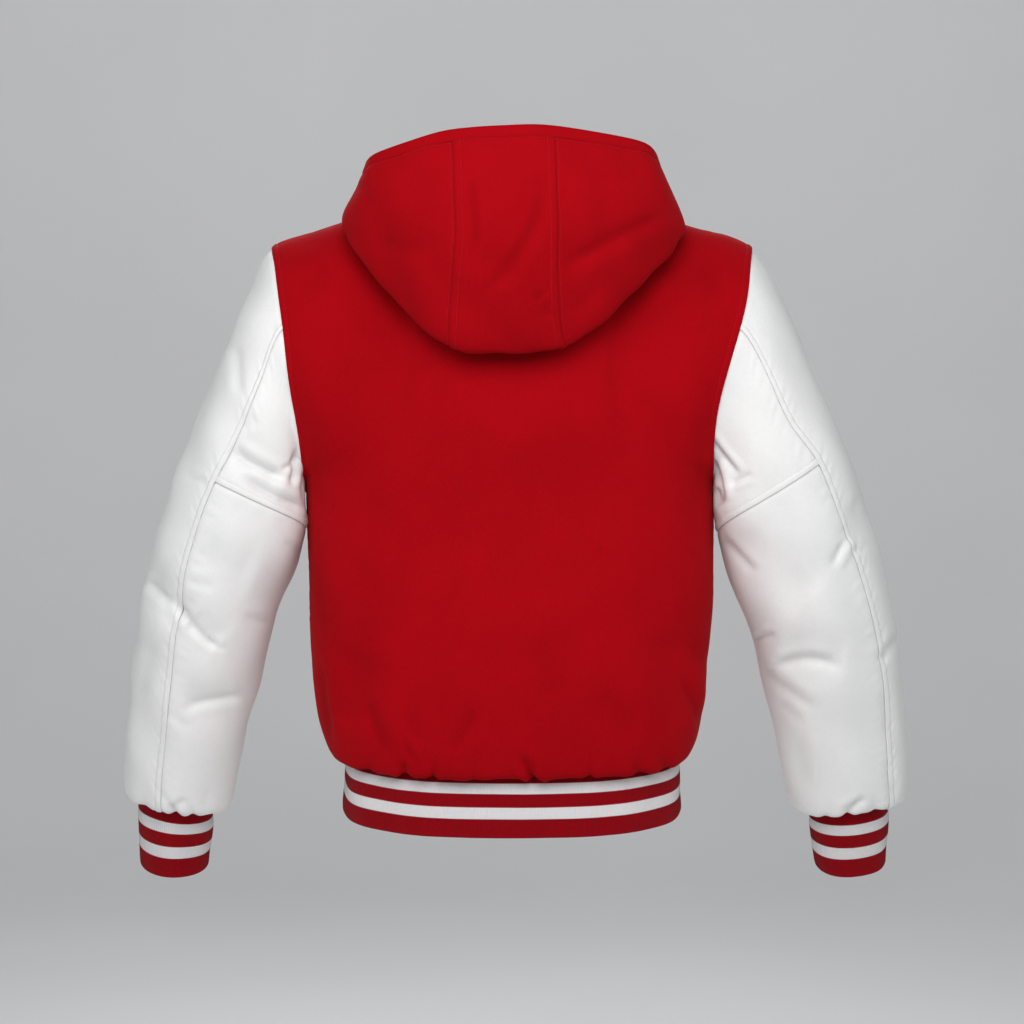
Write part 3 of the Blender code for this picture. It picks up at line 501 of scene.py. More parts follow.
def rounded(body, places, levels):
    """The evaluated mesh of the cage with its points at these places."""
    body.data.vertices.foreach_set("co", np.array(places, float).ravel())
    body.data.update()
    body.modifiers["round"].levels = body.modifiers["round"].render_levels = levels
    bpy.context.view_layer.update()
    graph = bpy.context.evaluated_depsgraph_get()
    return bpy.data.meshes.new_from_object(body.evaluated_get(graph), depsgraph=graph)


def mesh_points(mesh):
    """The points of a mesh as an array."""
    found = np.zeros(len(mesh.vertices) * 3)
    mesh.vertices.foreach_get("co", found)
    return found.reshape(-1, 3)


cage = cage_object()
wanted = mesh_points(cage.data)
places = wanted.copy()
for _ in range(CAGE_ROUNDS):
    smooth = rounded(cage, places, 1)
    places += wanted - mesh_points(smooth)[:len(places)]
    bpy.data.meshes.remove(smooth)
smooth = rounded(cage, places, FINE)
cloth_points = mesh_points(smooth)
quads = np.zeros(len(smooth.loops), int)
smooth.loops.foreach_get("vertex_index", quads)
quads = quads.reshape(-1, 4)
patch_of = np.zeros(len(quads), int)
smooth.polygons.foreach_get("material_index", patch_of)
grid_at = np.zeros(len(smooth.loops) * 2)
smooth.uv_layers["grid"].data.foreach_get("uv", grid_at)
grid_at = np.rint(grid_at.reshape(-1, 4, 2) * STEP).astype(int)
bpy.data.objects.remove(cage)
for material in [m for m in bpy.data.materials if m.name.startswith("patch_")]:
    bpy.data.materials.remove(material)
print("rounded surface:", len(cloth_points), "points,", len(quads), "faces")

# %% Read the patches back as grids
PATCH_GRID = {}  # name: for each grid place, the number of its point
for number, (name, (rows, wide)) in enumerate(PATCHES.items()):
    chosen = patch_of == number
    grid = np.full((rows * STEP + 1, wide * STEP + 1), -1)
    at = grid_at[chosen].reshape(-1, 2)
    grid[at[:, 1], at[:, 0]] = quads[chosen].ravel()
    PATCH_GRID[name] = grid


def unit(v):
    """Vectors of length one."""
    return v / np.maximum(np.linalg.norm(v, axis=-1, keepdims=True), 1e-12)


def point_normals(points):
    """A normal for each point of the surface: the mean of its faces, so that a seam is shared evenly."""
    normals = np.zeros_like(points)
    a, b, c, d = (points[quads[:, corner]] for corner in range(4))
    across = unit(np.cross(c - a, d - b))
    for corner in range(4):
        np.add.at(normals, quads[:, corner], across)
    return unit(normals)


if point_normals(cloth_points)[PATCH_GRID["back_left"].ravel(), 1].sum() < 0:
    quads = quads[:, ::-1]
print("patches read back:", all((grid >= 0).all() for grid in PATCH_GRID.values()))

# %% [markdown]
# ## Large folds
# Cloth that is worn folds where the body bends: in the crook of the elbow, under the arm, and where the body
# blouses over the hem. The widest folds are already in the solids, so they are pressed into the whole surface
# in the same way here. Then the hood is lifted clear of the back that it lies on.

# %% Press the widest folds
FOLDS = {  # part, face: x and z of both ends, half width, depth
    ("sleeve", "back"): [
        (0.378, -0.378, 0.33, -0.42, 0.02, 0.006),
        (0.33, -0.42, 0.3, -0.446, 0.02, 0.004),
        (0.292, -0.246, 0.232, -0.28, 0.022, 0.005),
        (0.34, -0.512, 0.286, -0.5, 0.02, 0.004),
        (0.322, -0.35, 0.262, -0.372, 0.026, 0.0045),
        (-0.226, -0.33, -0.306, -0.4, 0.026, 0.006),
        (-0.275, -0.452, -0.342, -0.464, 0.022, 0.005),
        (-0.362, -0.3, -0.35, -0.345, 0.02, 0.004),
    ],
    ("sleeve", "front"): [
        (0.24, -0.3, 0.31, -0.262, 0.022, 0.005),
        (0.262, -0.43, 0.338, -0.398, 0.022, 0.006),
        (0.272, -0.478, 0.35, -0.456, 0.022, 0.0045),
        (-0.238, -0.306, -0.3, -0.256, 0.022, 0.005),
        (-0.258, -0.418, -0.345, -0.41, 0.022, 0.006),
        (-0.28, -0.486, -0.352, -0.462, 0.022, 0.0045),
    ],
    ("body", "back"): [
        (-0.16, -0.43, -0.176, -0.53, 0.024, 0.0045),
        (0.15, -0.45, 0.17, -0.53, 0.024, 0.0035),
    ],
    ("body", "front"): [
        (0.13, -0.44, 0.142, -0.53, 0.024, 0.0045),
        (-0.148, -0.45, -0.152, -0.53, 0.024, 0.0045),
    ],
    ("hood", "back"): [
        (-0.024, 0.0, 0.02, -0.086, 0.022, 0.004),
        (-0.11, -0.03, -0.048, -0.066, 0.022, 0.0032),
    ],
}
PART_OF = {"back": "body", "front": "body", "rib": "rib", "cuff": "rib", "sleeve": "sleeve", "hood": "hood"}
member = {part: np.zeros(len(cloth_points), bool) for part in ("body", "sleeve", "hood", "rib")}
for name, grid in PATCH_GRID.items():
    member[PART_OF[name.split("_")[0]]][grid.ravel()] = True


def press_folds(points):
    """Pushes the folds of the table into the surface."""
    normals = point_normals(points)
    moved = np.zeros(len(points))
    for (part, face), folds in FOLDS.items():
        facing = normals[:, 1] if face == "back" else -normals[:, 1]
        for x0, z0, x1, z1, half_width, depth in folds:
            line = np.array((x1 - x0, z1 - z0))
            place = points[:, (0, 2)] - (x0, z0)
            share = np.clip(place @ line / (line @ line), 0, 1)
            away = np.linalg.norm(place - share[:, None] * line, axis=1) / half_width
            soft = np.exp(-away ** 2) * ease(share * 4 + 0.25) * ease((1 - share) * 4 + 0.25)
            moved -= depth * soft * ease(facing * 1.6) * member[part] * ~member["rib"]
    return points + normals * moved[:, None]


cloth_points = press_folds(cloth_points)
print("folds pressed:", sum(len(folds) for folds in FOLDS.values()))

# %% Line of the hood's low edge, and its lift off the back
HOOD_LIFT = 0.0052       # the hood's middle surface stays this far off the body's
HOOD_LOW_ROW = 4 * STEP  # the fold's row in the hood's grids
LOW_EDGE_REACH = 8.0     # how many rows of the grid move with it
STRAIGHT_ABOVE = 0.9     # a point is above a face when this much of its distance is along the face's normal
# How much higher the low edge lies than the table's fold, by x: a rounder line on the right than on the left.
LOW_EDGE = [(-0.171, 0.002), (-0.145, 0.001), (-0.125, 0.004), (-0.096, 0.006), (-0.072, 0.005),
            (-0.05, 0.0025), (-0.026, 0.003), (0.0, 0.0), (0.027, 0.003), (0.05, 0.0015), (0.07, 0.003),
            (0.09, 0.003), (0.112, -0.002), (0.13, 0.0), (0.148, 0.004), (0.16, 0.006), (0.173, 0.0)]


def draw_low_edge(points):
    """Moves the low edge of the hood onto its line."""
    points = points.copy()
    for side in SIDES:
        grid = PATCH_GRID["hood_" + side]
        near = np.exp(-((np.arange(len(grid)) - HOOD_LOW_ROW) / LOW_EDGE_REACH) ** 2)[:, None]
        rise = np.interp(points[grid[HOOD_LOW_ROW], 0], *zip(*LOW_EDGE))
        points[grid, 2] += near * rise * (points[grid[HOOD_LOW_ROW], 1] > 0)
    return points


def lift_hood(points):
    """Keeps the hood off the body cloth beneath it."""
    under = member["body"] | member["sleeve"]
    body_faces = [tuple(int(v) for v in quad) for quad in quads[under[quads].all(axis=1)]]
    tree = BVHTree.FromPolygons([Vector(p) for p in points], body_faces)
    points = points.copy()
    lifted = 0
    for v in np.flatnonzero(member["hood"] & ~under):
        at, normal, _, _ = tree.find_nearest(Vector(points[v]))
        away = Vector(points[v]) - at
        clear = away.dot(normal)
        if abs(clear) > STRAIGHT_ABOVE * away.length and clear < HOOD_LIFT:
            points[v] += np.array(normal) * (HOOD_LIFT - clear)
            lifted += 1
    print("hood points lifted:", lifted)
    return points


cloth_points = lift_hood(draw_low_edge(cloth_points))
cloth_normals = point_normals(cloth_points)

# %% [markdown]
# ## Panels at real spacing
# A panel needs points close together where something happens, at its seams, and fewer in the middle. So each
# panel is read out of its grid again, by the length along its cloth: a few rows at fixed distances from every
# edge, for the lip, the stitches and the dent beside a seam, then an even spacing. A smooth curve through the
# grid's points gives the places between them.

# %% Whole grids
def patch(name):
    """The points and the normals of a patch, as one grid with six columns."""
    grid = PATCH_GRID[name]
    return np.concatenate([cloth_points[grid], cloth_normals[grid]], axis=2)


def joined(*parts):
    """Patches side by side, sharing a column."""
    return np.concatenate([parts[0]] + [part[:, 1:] for part in parts[1:]], axis=1)


def mirrored(name):
    """A patch with its columns in the other order."""
    return patch(name)[:, ::-1]


WHOLE = {
    "back": joined(mirrored("back_right"), patch("back_left")),
    "front_left": patch("front_left"),
    "front_right": patch("front_right"),
    "hem": joined(mirrored("rib_front_right"), mirrored("rib_back_right"), patch("rib_back_left"),
                  patch("rib_front_left")),
    "hood": joined(mirrored("hood_right"), patch("hood_left")),
}
for side in SIDES:
    sleeve = patch("sleeve_" + side)
    WHOLE["sleeve_" + side] = joined(sleeve[:, FRONT_SEAM_COLUMN * STEP:], sleeve)
    cuff = patch("cuff_" + side)
    WHOLE["cuff_" + side] = joined(cuff[:, FRONT_SEAM_COLUMN * STEP:], cuff[:, :FRONT_SEAM_COLUMN * STEP + 1])
print({name: grid.shape[:2] for name, grid in WHOLE.items()})


# %% Read a panel out of a grid
def smooth_line(line, at):
    """The values at fractional places along a line of points, on a Catmull-Rom curve through them."""
    padded = np.concatenate([[2 * line[0] - line[1]], line, [2 * line[-1] - line[-2]]])
    cell = np.clip(np.floor(at).astype(int), 0, len(line) - 2)
    t = (at - cell)[:, None]
    a, b, c, d = (padded[cell + k] for k in range(4))
    square, cube = 2 * a - 5 * b + 4 * c - d, 3 * b - a - 3 * c + d
    return 0.5 * (2 * b + (c - a) * t + square * t ** 2 + cube * t ** 3)


def spaced(length, near_first, near_last, middle):
    """Distances along a line: fixed ones near both ends, even ones between them."""
    squeeze = min(1.0, 0.9 * length / max(near_first[-1] + near_last[-1], 1e-9))
    first, last = np.array(near_first) * squeeze, length - np.array(near_last[::-1]) * squeeze
    return np.concatenate([first, np.linspace(first[-1], last[0], middle + 2)[1:-1], last])


def respaced(grid, first, last, near_first, near_last, spacing):
    """Each row of a grid between two of its columns, read at spaced distances. Two columns are added, the
    distance from each end."""
    lines = []
    for row in grid:
        row = row[first:last + 1]
        run = np.concatenate([[0], np.cumsum(np.linalg.norm(np.diff(row[:, :3], axis=0), axis=1))])
        lines.append((row, run))
    longest = max(run[-1] for _, run in lines)
    middle = max(2, int(round((longest - near_first[-1] - near_last[-1]) / spacing)))
    out = []
    for row, run in lines:
        at = spaced(run[-1], near_first, near_last, middle)
        found = smooth_line(row, np.interp(at, run, np.arange(len(run))))
        out.append(np.column_stack([found, at, run[-1] - at]))
    return np.array(out)


def read_panel(whole, rows, columns, near, spacing):
    """A panel as a grid: point, normal, distance from its first and last column, then from its low and high
    row. near gives the fixed distances at the four edges: first, last, low, high. spacing is across and
    along."""
    grid = WHOLE[whole][rows[0] * STEP:rows[1] * STEP + 1]
    grid = respaced(grid, columns[0] * STEP, columns[1] * STEP, near[0], near[1], spacing[0])
    turned = grid.transpose(1, 0, 2)
    turned = respaced(turned, 0, turned.shape[1] - 1, near[2], near[3], spacing[1])
    grid = turned.transpose(1, 0, 2)
    grid[..., 3:6] = unit(grid[..., 3:6])
    return grid


print("fine cells in a cage cell:", STEP, "by", STEP)

# %% [markdown]
# ## Creases, gathers and waviness
# The finer creases are placed one by one, the way a stylist sees them: each is a line on the cloth with a
# bow, a width, a depth and a raised shoulder on one side. Those on the back are given where the camera sees
# them, on the plane of the side seams, so that a fold stays where it was drawn whatever the depth of the
# cloth there.
# Similar ones go on the sides that the camera does not see. A low, slow waviness keeps broad areas from
# looking machined.

# %% The creases
CREASES = {  # part, face: x and z of both ends, bow, half width, depth, share and side of the shoulder
    ("sleeve", "back"): [
        # left sleeve, back
        (0.288, -0.136, 0.284, -0.188, 0.0, 0.0055, 0.002, -0.4),
        (0.266, -0.212, 0.284, -0.222, 0.0, 0.006, 0.0012, 0.4),
        (0.292, -0.246, 0.24, -0.275, -0.0025, 0.006, 0.0044, 0.5),
        (0.28, -0.273, 0.218, -0.306, -0.003, 0.006, 0.0042, 0.5),
        (0.227, -0.246, 0.23, -0.283, 0.0015, 0.0038, 0.0052, 0.5),
        (0.224, -0.252, 0.24, -0.266, 0.001, 0.0032, 0.003, 0.4),
        (0.217, -0.266, 0.215, -0.298, 0.0, 0.005, 0.005, 0.2),
        (0.34, -0.273, 0.316, -0.281, 0.0, 0.004, 0.001, 0.4),
        (0.339, -0.382, 0.311, -0.388, 0.0, 0.006, 0.0015, 0.3),
        (0.382, -0.382, 0.355, -0.406, 0.0, 0.005, 0.0028, -0.3),
        (0.351, -0.402, 0.306, -0.452, -0.005, 0.0046, 0.0036, -0.4),
        (0.251, -0.425, 0.278, -0.419, 0.001, 0.005, 0.0018, -0.3),
        (0.238, -0.34, 0.222, -0.352, 0.0, 0.005, 0.0012, 0.3),
        (0.343, -0.515, 0.278, -0.501, 0.0025, 0.0052, 0.0024, -0.4),
        (0.359, -0.518, 0.336, -0.538, 0.0, 0.005, 0.0013, -0.3),
        (0.32, -0.444, 0.303, -0.455, 0.0, 0.0035, 0.0016, 0.4),
        (0.359, -0.624, 0.341, -0.611, 0.001, 0.004, 0.0022, 0.4),
        (0.318, -0.601, 0.322, -0.62, 0.0, 0.005, 0.0012, 0.3),
        (0.378, -0.444, 0.389, -0.507, 0.002, 0.008, 0.0018, 0.2),
        # right sleeve, back
        (-0.208, -0.232, -0.237, -0.27, -0.0015, 0.0032, 0.0042, 0.6),
        (-0.209, -0.254, -0.222, -0.297, 0.001, 0.0036, 0.0048, 0.5),
        (-0.209, -0.285, -0.219, -0.304, 0.0, 0.006, 0.0055, 0.2),
        (-0.229, -0.281, -0.251, -0.271, 0.001, 0.0035, 0.0022, -0.5),
        (-0.209, -0.248, -0.219, -0.256, 0.0, 0.0025, 0.0015, 0.4),
        (-0.219, -0.338, -0.255, -0.373, -0.001, 0.005, 0.0024, 0.4),
        (-0.336, -0.367, -0.348, -0.338, 0.001, 0.004, 0.0032, -0.5),
        (-0.353, -0.352, -0.37, -0.348, 0.0, 0.004, 0.0018, 0.4),
        (-0.27, -0.475, -0.343, -0.471, 0.009, 0.006, 0.0036, 0.4),
        (-0.257, -0.469, -0.314, -0.515, -0.002, 0.0065, 0.0028, 0.4),
        (-0.251, -0.445, -0.276, -0.438, 0.001, 0.004, 0.0026, 0.4),
        (-0.384, -0.467, -0.402, -0.438, -0.001, 0.005, 0.0022, 0.4),
        (-0.28, -0.507, -0.303, -0.532, 0.0, 0.006, 0.0016, 0.3),
        (-0.299, -0.543, -0.307, -0.601, 0.0, 0.008, 0.0016, 0.2),
        (-0.345, -0.626, -0.372, -0.61, 0.0015, 0.004, 0.0024, 0.4),
        (-0.391, -0.57, -0.398, -0.611, 0.0, 0.005, 0.0014, 0.3),
        (-0.387, -0.496, -0.395, -0.549, 0.0, 0.006, 0.0014, 0.3),
    ],
    ("sleeve", "front"): [
        # sleeves, front: the crook of the elbow and the armpit
        (0.232, -0.27, 0.3, -0.238, 0.003, 0.005, 0.003, 0.5),
        (0.236, -0.306, 0.288, -0.286, 0.002, 0.004, 0.0024, 0.4),
        (0.262, -0.396, 0.352, -0.37, -0.004, 0.005, 0.0036, 0.5),
        (0.258, -0.424, 0.34, -0.404, -0.003, 0.0045, 0.0042, -0.5),
        (0.27, -0.452, 0.33, -0.446, 0.002, 0.004, 0.0026, 0.4),
        (0.286, -0.52, 0.362, -0.5, -0.002, 0.006, 0.002, 0.4),
        (0.33, -0.6, 0.35, -0.616, 0.0, 0.004, 0.0022, 0.4),
        (-0.23, -0.262, -0.292, -0.24, -0.003, 0.005, 0.003, 0.5),
        (-0.238, -0.318, -0.276, -0.3, -0.002, 0.004, 0.0024, 0.4),
        (-0.256, -0.404, -0.344, -0.384, 0.004, 0.005, 0.0036, 0.5),
        (-0.262, -0.436, -0.35, -0.428, 0.003, 0.0045, 0.004, -0.5),
        (-0.276, -0.466, -0.326, -0.456, -0.002, 0.004, 0.0024, 0.4),
        (-0.292, -0.536, -0.356, -0.52, 0.002, 0.006, 0.002, 0.4),
        (-0.352, -0.6, -0.336, -0.618, 0.0, 0.004, 0.0022, 0.4),
    ],
    ("hood", "back"): [
        # hood, outer layer
        (-0.033, 0.03, 0.028, -0.082, 0.0085, 0.008, 0.003, 0.4),
        (0.044, 0.044, 0.039, -0.042, 0.002, 0.0055, 0.0024, 0.4),
        (-0.052, -0.053, -0.162, 0.004, 0.002, 0.0085, 0.0028, -0.4),
        (-0.047, 0.009, -0.061, 0.032, 0.0, 0.006, 0.001, 0.3),
        (-0.024, -0.088, -0.039, -0.077, 0.0, 0.0034, 0.001, -0.6),
        (-0.024, -0.08, -0.04, -0.11, 0.0, 0.006, 0.0012, 0.4),
        (-0.095, -0.068, -0.056, -0.102, 0.002, 0.01, 0.0014, 0.3),
        (0.146, -0.026, 0.084, -0.03, -0.003, 0.012, 0.0018, 0.2),
        (0.157, 0.034, 0.146, 0.009, 0.0, 0.007, 0.0016, 0.3),
    ],
    ("body", "back"): [
        # back panel
        (0.153, -0.507, 0.132, -0.563, 0.002, 0.008, 0.0026, 0.3),
        (0.109, -0.519, 0.096, -0.551, 0.0, 0.009, 0.0016, 0.3),
        (0.037, -0.513, 0.065, -0.561, 0.002, 0.009, 0.0024, 0.3),
        (0.113, -0.551, 0.102, -0.572, 0.0, 0.0035, 0.0022, 0.5),
        (0.125, -0.572, 0.109, -0.576, 0.0, 0.0026, 0.0018, 0.5),
        (-0.01, -0.565, -0.025, -0.582, 0.001, 0.004, 0.003, 0.5),
        (0.199, -0.466, 0.19, -0.55, -0.002, 0.0055, 0.0034, -0.4),
        (-0.177, -0.484, -0.199, -0.54, 0.003, 0.006, 0.003, 0.5),
        (-0.186, -0.444, -0.203, -0.473, 0.0, 0.008, 0.002, 0.3),
        (0.203, -0.361, 0.196, -0.444, 0.0, 0.01, 0.002, 0.3),
        (0.209, -0.214, 0.196, -0.319, 0.0, 0.009, 0.0016, 0.3),
        (-0.199, -0.214, -0.19, -0.319, 0.0, 0.009, 0.0016, 0.3),
        (-0.092, -0.496, -0.134, -0.538, 0.0, 0.014, 0.0018, 0.2),
        (-0.029, -0.444, -0.05, -0.507, 0.0, 0.016, 0.0014, 0.2),
        (0.222, -0.089, 0.19, -0.049, 0.0, 0.014, 0.0016, 0.2),
        (-0.219, -0.089, -0.196, -0.049, 0.0, 0.014, 0.0016, 0.2),
    ],
    ("body", "front"): [
        # fronts
        (0.196, -0.25, 0.15, -0.31, 0.003, 0.009, 0.0024, 0.3),
        (-0.194, -0.246, -0.146, -0.3, -0.003, 0.009, 0.0024, 0.3),
        (0.16, -0.486, 0.136, -0.545, 0.002, 0.008, 0.0026, 0.3),
        (-0.12, -0.49, -0.136, -0.548, 0.002, 0.008, 0.0026, 0.3),
        (0.086, -0.5, 0.094, -0.552, 0.002, 0.007, 0.0022, 0.3),
        (-0.066, -0.505, -0.058, -0.55, 0.002, 0.007, 0.0022, 0.3),
        (0.04, -0.13, 0.096, -0.09, 0.002, 0.011, 0.0018, 0.3),
        (-0.036, -0.15, -0.09, -0.1, 0.002, 0.011, 0.0018, 0.3),
    ],
}
print("creases:", sum(len(creases) for creases in CREASES.values()))

# %% Height of the creases
SHOULDER_AT, SHOULDER_WIDTH = 1.9, 1.1  # place and width of the raised shoulder, in half widths of its crease


def seen(points):
    """Where the camera sees a point, on the plane of the side seams: x and z."""
    nearer = VIEW_DISTANCE / (VIEW_DISTANCE - (points[..., 1] - SIDE_Y))
    return np.stack([points[..., 0] * nearer, VIEW_HEIGHT + (points[..., 2] - VIEW_HEIGHT) * nearer], axis=-1)


def crease_height(part, points, normals):
    """How far the creases move each point out along its normal."""
    height = np.zeros(points.shape[:-1])
    views = {"back": seen(points), "front": points[..., (0, 2)]}
    for face, facing in (("back", normals[..., 1]), ("front", -normals[..., 1])):
        for x0, z0, x1, z1, bow, half_width, depth, shoulder in CREASES.get((part, face), []):
            line = np.array((x1 - x0, z1 - z0))
            length = math.hypot(*line)
            place = views[face] - (x0, z0)
            share = place @ line / length ** 2
            across = (place[..., 0] * line[1] - place[..., 1] * line[0]) / length
            across = (across - bow * 4 * share * (1 - share)) / half_width
            fade = ease(share * 3 + 0.3) * ease((1 - share) * 3 + 0.3)
            away = across * math.copysign(1, shoulder)
            raised = abs(shoulder) * np.exp(-((away - SHOULDER_AT) / SHOULDER_WIDTH) ** 2)
            form = raised - np.exp(-across ** 2)
            height += depth * form * fade * ease(facing * 3 + 0.2)
    return height


print("the camera sees the nape at", seen(np.zeros(3)).round(3))

# %% Gathers where the cloth blouses over the ribs
GATHERS = {  # part, face: x, half width, depth, lean
    ("body", "back"): [
        (0.112, 0.005, 0.005, 0.1),
        (0.083, 0.004, 0.004, -0.15),
        (-0.023, 0.0045, 0.0075, 0.55),
        (-0.081, 0.004, 0.003, -0.1),
        (-0.133, 0.006, 0.004, 0.3),
        (-0.16, 0.0045, 0.0035, 0.1),
        (0.15, 0.006, 0.003, -0.2),
        (0.04, 0.006, 0.0016, 0.0),
    ],
    ("body", "front"): [
        (0.135, 0.005, 0.005, 0.1),
        (0.1, 0.0045, 0.004, -0.2),
        (0.07, 0.004, 0.003, 0.1),
        (-0.076, 0.0045, 0.0045, 0.2),
        (-0.112, 0.005, 0.004, -0.1),
        (-0.146, 0.0045, 0.004, 0.1),
    ],
    ("sleeve", "back"): [
        (0.352, 0.0045, 0.0035, 0.6),
        (0.334, 0.004, 0.0024, 0.3),
        (0.384, 0.005, 0.002, 0.0),
        (-0.352, 0.0045, 0.0032, -0.6),
        (-0.328, 0.004, 0.0018, -0.3),
        (-0.38, 0.0045, 0.0022, 0.1),
    ],
    ("sleeve", "front"): [
        (0.34, 0.0045, 0.0035, 0.2),
        (0.368, 0.0045, 0.003, -0.2),
        (-0.336, 0.0045, 0.0032, -0.2),
        (-0.366, 0.0045, 0.0035, 0.2),
    ],
}
GATHER_REACH = 0.042                 # how far from the rib seam a gather still shows
GATHER_FOOT = 0.015                  # the distance from the seam at which the gather has its x
GATHER_SHOULDERS = (0.35, 2.1, 1.1)  # their share of the depth, then place and width in half widths
CUFF_Y = SIDE_Y - 0.052


def gather_height(part, points, from_seam):
    """How far the gathers pull each point in. from_seam is the length of cloth from the rib seam."""
    height = np.zeros(points.shape[:-1])
    view = {"back": seen(points)[..., 0], "front": points[..., 0]}
    middle = SIDE_Y if part == "body" else CUFF_Y
    raised, at, wide = GATHER_SHOULDERS
    for face in ("back", "front"):
        beside = points[..., 1] - middle if face == "back" else middle - points[..., 1]
        fade = ease(1.15 - from_seam / GATHER_REACH) * ease(from_seam / 0.006) * ease(beside / 0.012)
        for x, half_width, depth, lean in GATHERS[part, face]:
            across = (view[face] - x - lean * (from_seam - GATHER_FOOT)) / half_width
            form = raised * np.exp(-((np.abs(across) - at) / wide) ** 2) - np.exp(-across ** 2)
            height += depth * form * fade
    return height


print("gathers:", sum(len(gathers) for gathers in GATHERS.values()))

# %% Waviness
WAVES = 7
ANY_PHASE = (0, 6.28)  # a sine wave may start anywhere


def waviness(points, length, size, seed):
    """A slow, even waviness: a few sine waves in fixed directions."""
    rng = np.random.RandomState(seed)
    height = np.zeros(points.shape[:-1])
    for _ in range(WAVES):
        way = unit(rng.normal(size=3)) * 2 * math.pi / (length * rng.uniform(0.7, 1.5))
        height += np.sin(points @ way + rng.uniform(*ANY_PHASE))
    return height * size / WAVES ** 0.5


print("waves:", WAVES)

# %% [markdown]
# ## Seams
# A seam shows as more than a line. The panel that laps over stands proud by the thickness of its turned-in
# allowance, as far as the row of topstitching, which pulls a shallow dent. The panel below sinks beside it.
# On the hood the seam is pressed open and stitched on both sides. Each edge of each panel gets one of these
# forms, as a height over the distance from the edge.

# %% Seam forms
SEAM_FORMS = {  # name: height of the strip beside the seam, place of the stitches, roll at the edge
    "over": (0.00095, 0.0062, 0.0001),
    "armhole": (0.00095, 0.0062, 0.0002),
    "shoulder": (0.0006, 0.0062, 0.0003),
    "under": (-0.00035, None, 0.0004),
    "open_wide": (0.0006, 0.0069, 0.0001),
    "open_close": (-0.0002, 0.0027, 0.0003),
    "faced": (0.0005, 0.0062, 0.0002),
    "band": (-0.0002, 0.0019, 0.0006),
    "plain": (0.0, None, 0.0007),
    "rim": (0.0, None, 0.0),
}
TUCK = 0.0002                              # where the edge of the lower panel lies, short of the seam line
RIM_REACH = 0.0001                         # how far any other panel's rounded rim reaches past the seam line
ROLL_AT, ROLL_WIDTH = 0.001, 0.0011
STRIP_END, STRIP_FADE = 0.0012, 0.0022     # the strip sinks this far before the stitches, over this length
DENT_DEPTH, DENT_WIDTH = 0.0005, 0.0008    # of the dent that the stitches pull
SINK_REACH = 0.006                         # how far from the seam the lower panel sinks
ARMPIT_Z, SHOULDER_SEAM_X = -0.292, 0.094  # where the armholes' and the shoulders' forms start
NEAR_STITCHED = (0.0019, 0.0027, 0.0036, 0.0046, 0.0055, 0.0062, 0.0069, 0.008, 0.0098)
NEAR_PLAIN = (0.002, 0.0031, 0.0048, 0.007)


def near_rows(form, thickness):
    """The fixed distances from an edge that its form needs. The first leaves room for the rounded rim, except
    where the panel is tucked under its neighbour."""
    first = TUCK if form in ("under", "open_close", "band") else thickness / 2 - RIM_REACH
    return (first,) + (NEAR_STITCHED if SEAM_FORMS[form][1] else NEAR_PLAIN)


def form_share(form, points):
    """Where along its edge a form holds: an armhole starts at the armpit, a shoulder beyond the neck."""
    if form == "armhole":
        return ease((points[..., 2] - ARMPIT_Z) / 0.012)
    if form == "shoulder":
        return ease((np.abs(points[..., 0]) - SHOULDER_SEAM_X) / 0.006)
    return 1.0


def seam_height(form, distance, points):
    """The height of a seam's form at a distance from the edge."""
    strip, stitches, roll = SEAM_FORMS[form]
    share = form_share(form, points)
    height = -roll * np.exp(-((distance - ROLL_AT) / ROLL_WIDTH) ** 2)
    if stitches:
        height += share * strip * (1 - ease((distance - stitches + STRIP_END) / STRIP_FADE))
        height -= share * DENT_DEPTH * np.exp(-((distance - stitches) / DENT_WIDTH) ** 2)
    elif strip:
        height += strip * (1 - ease(distance / SINK_REACH))
    return height


PUCKER_LENGTHS = (0.01, 0.026)
PUCKER_AT, PUCKER_WIDTH = 0.009, 0.007


def pucker(distance, run, size, seed):
    """Small puckers across a seam, strongest just beyond its stitches. run is the length along the seam."""
    rng = np.random.RandomState(seed)
    wave = sum(np.sin(run * 2 * math.pi / rng.uniform(*PUCKER_LENGTHS) + rng.uniform(*ANY_PHASE))
               for _ in range(4))
    return size * wave / 2 * np.exp(-((distance - PUCKER_AT) / PUCKER_WIDTH) ** 2)


print("seam forms:", ", ".join(SEAM_FORMS))

# %% [markdown]
# ## Walls
# Each panel becomes a closed wall of its cloth's own thickness, with rounded edges, so that two panels meet
# in a real groove. Solidify would give square edges, so the wall is built from the grid: an outer and an
# inner sheet, and a half round strip between them along the border. The distance to the seam and the height
# of the creases are kept as attributes, because the materials use them for rubbed and shaded places.

# %% Build a wall
RIM_TURNS = (math.radians(32), math.radians(-32))


def grid_faces(rows, wide):
    """The numbers of a grid's points, and its faces."""
    number = np.arange(rows * wide).reshape(rows, wide)
    corners = number[:-1, :-1], number[:-1, 1:], number[1:, 1:], number[1:, :-1]
    return number, np.stack(corners, axis=-1).reshape(-1, 4)


def border(rows, wide):
    """The border places of a grid, as rows and columns, walked in one direction."""
    loop = [(0, j) for j in range(wide)] + [(i, wide - 1) for i in range(1, rows)]
    return loop + [(rows - 1, j) for j in range(wide - 2, -1, -1)] + [(i, 0) for i in range(rows - 2, 0, -1)]


def outward(points, i, j):
    """The direction out of the panel at a place on its border."""
    rows, wide = points.shape[:2]
    way = np.zeros(3)
    if i in (0, rows - 1):
        way += unit(points[i, j] - points[1 if i == 0 else rows - 2, j])
    if j in (0, wide - 1):
        way += unit(points[i, j] - points[i, 1 if j == 0 else wide - 2])
    return unit(way)


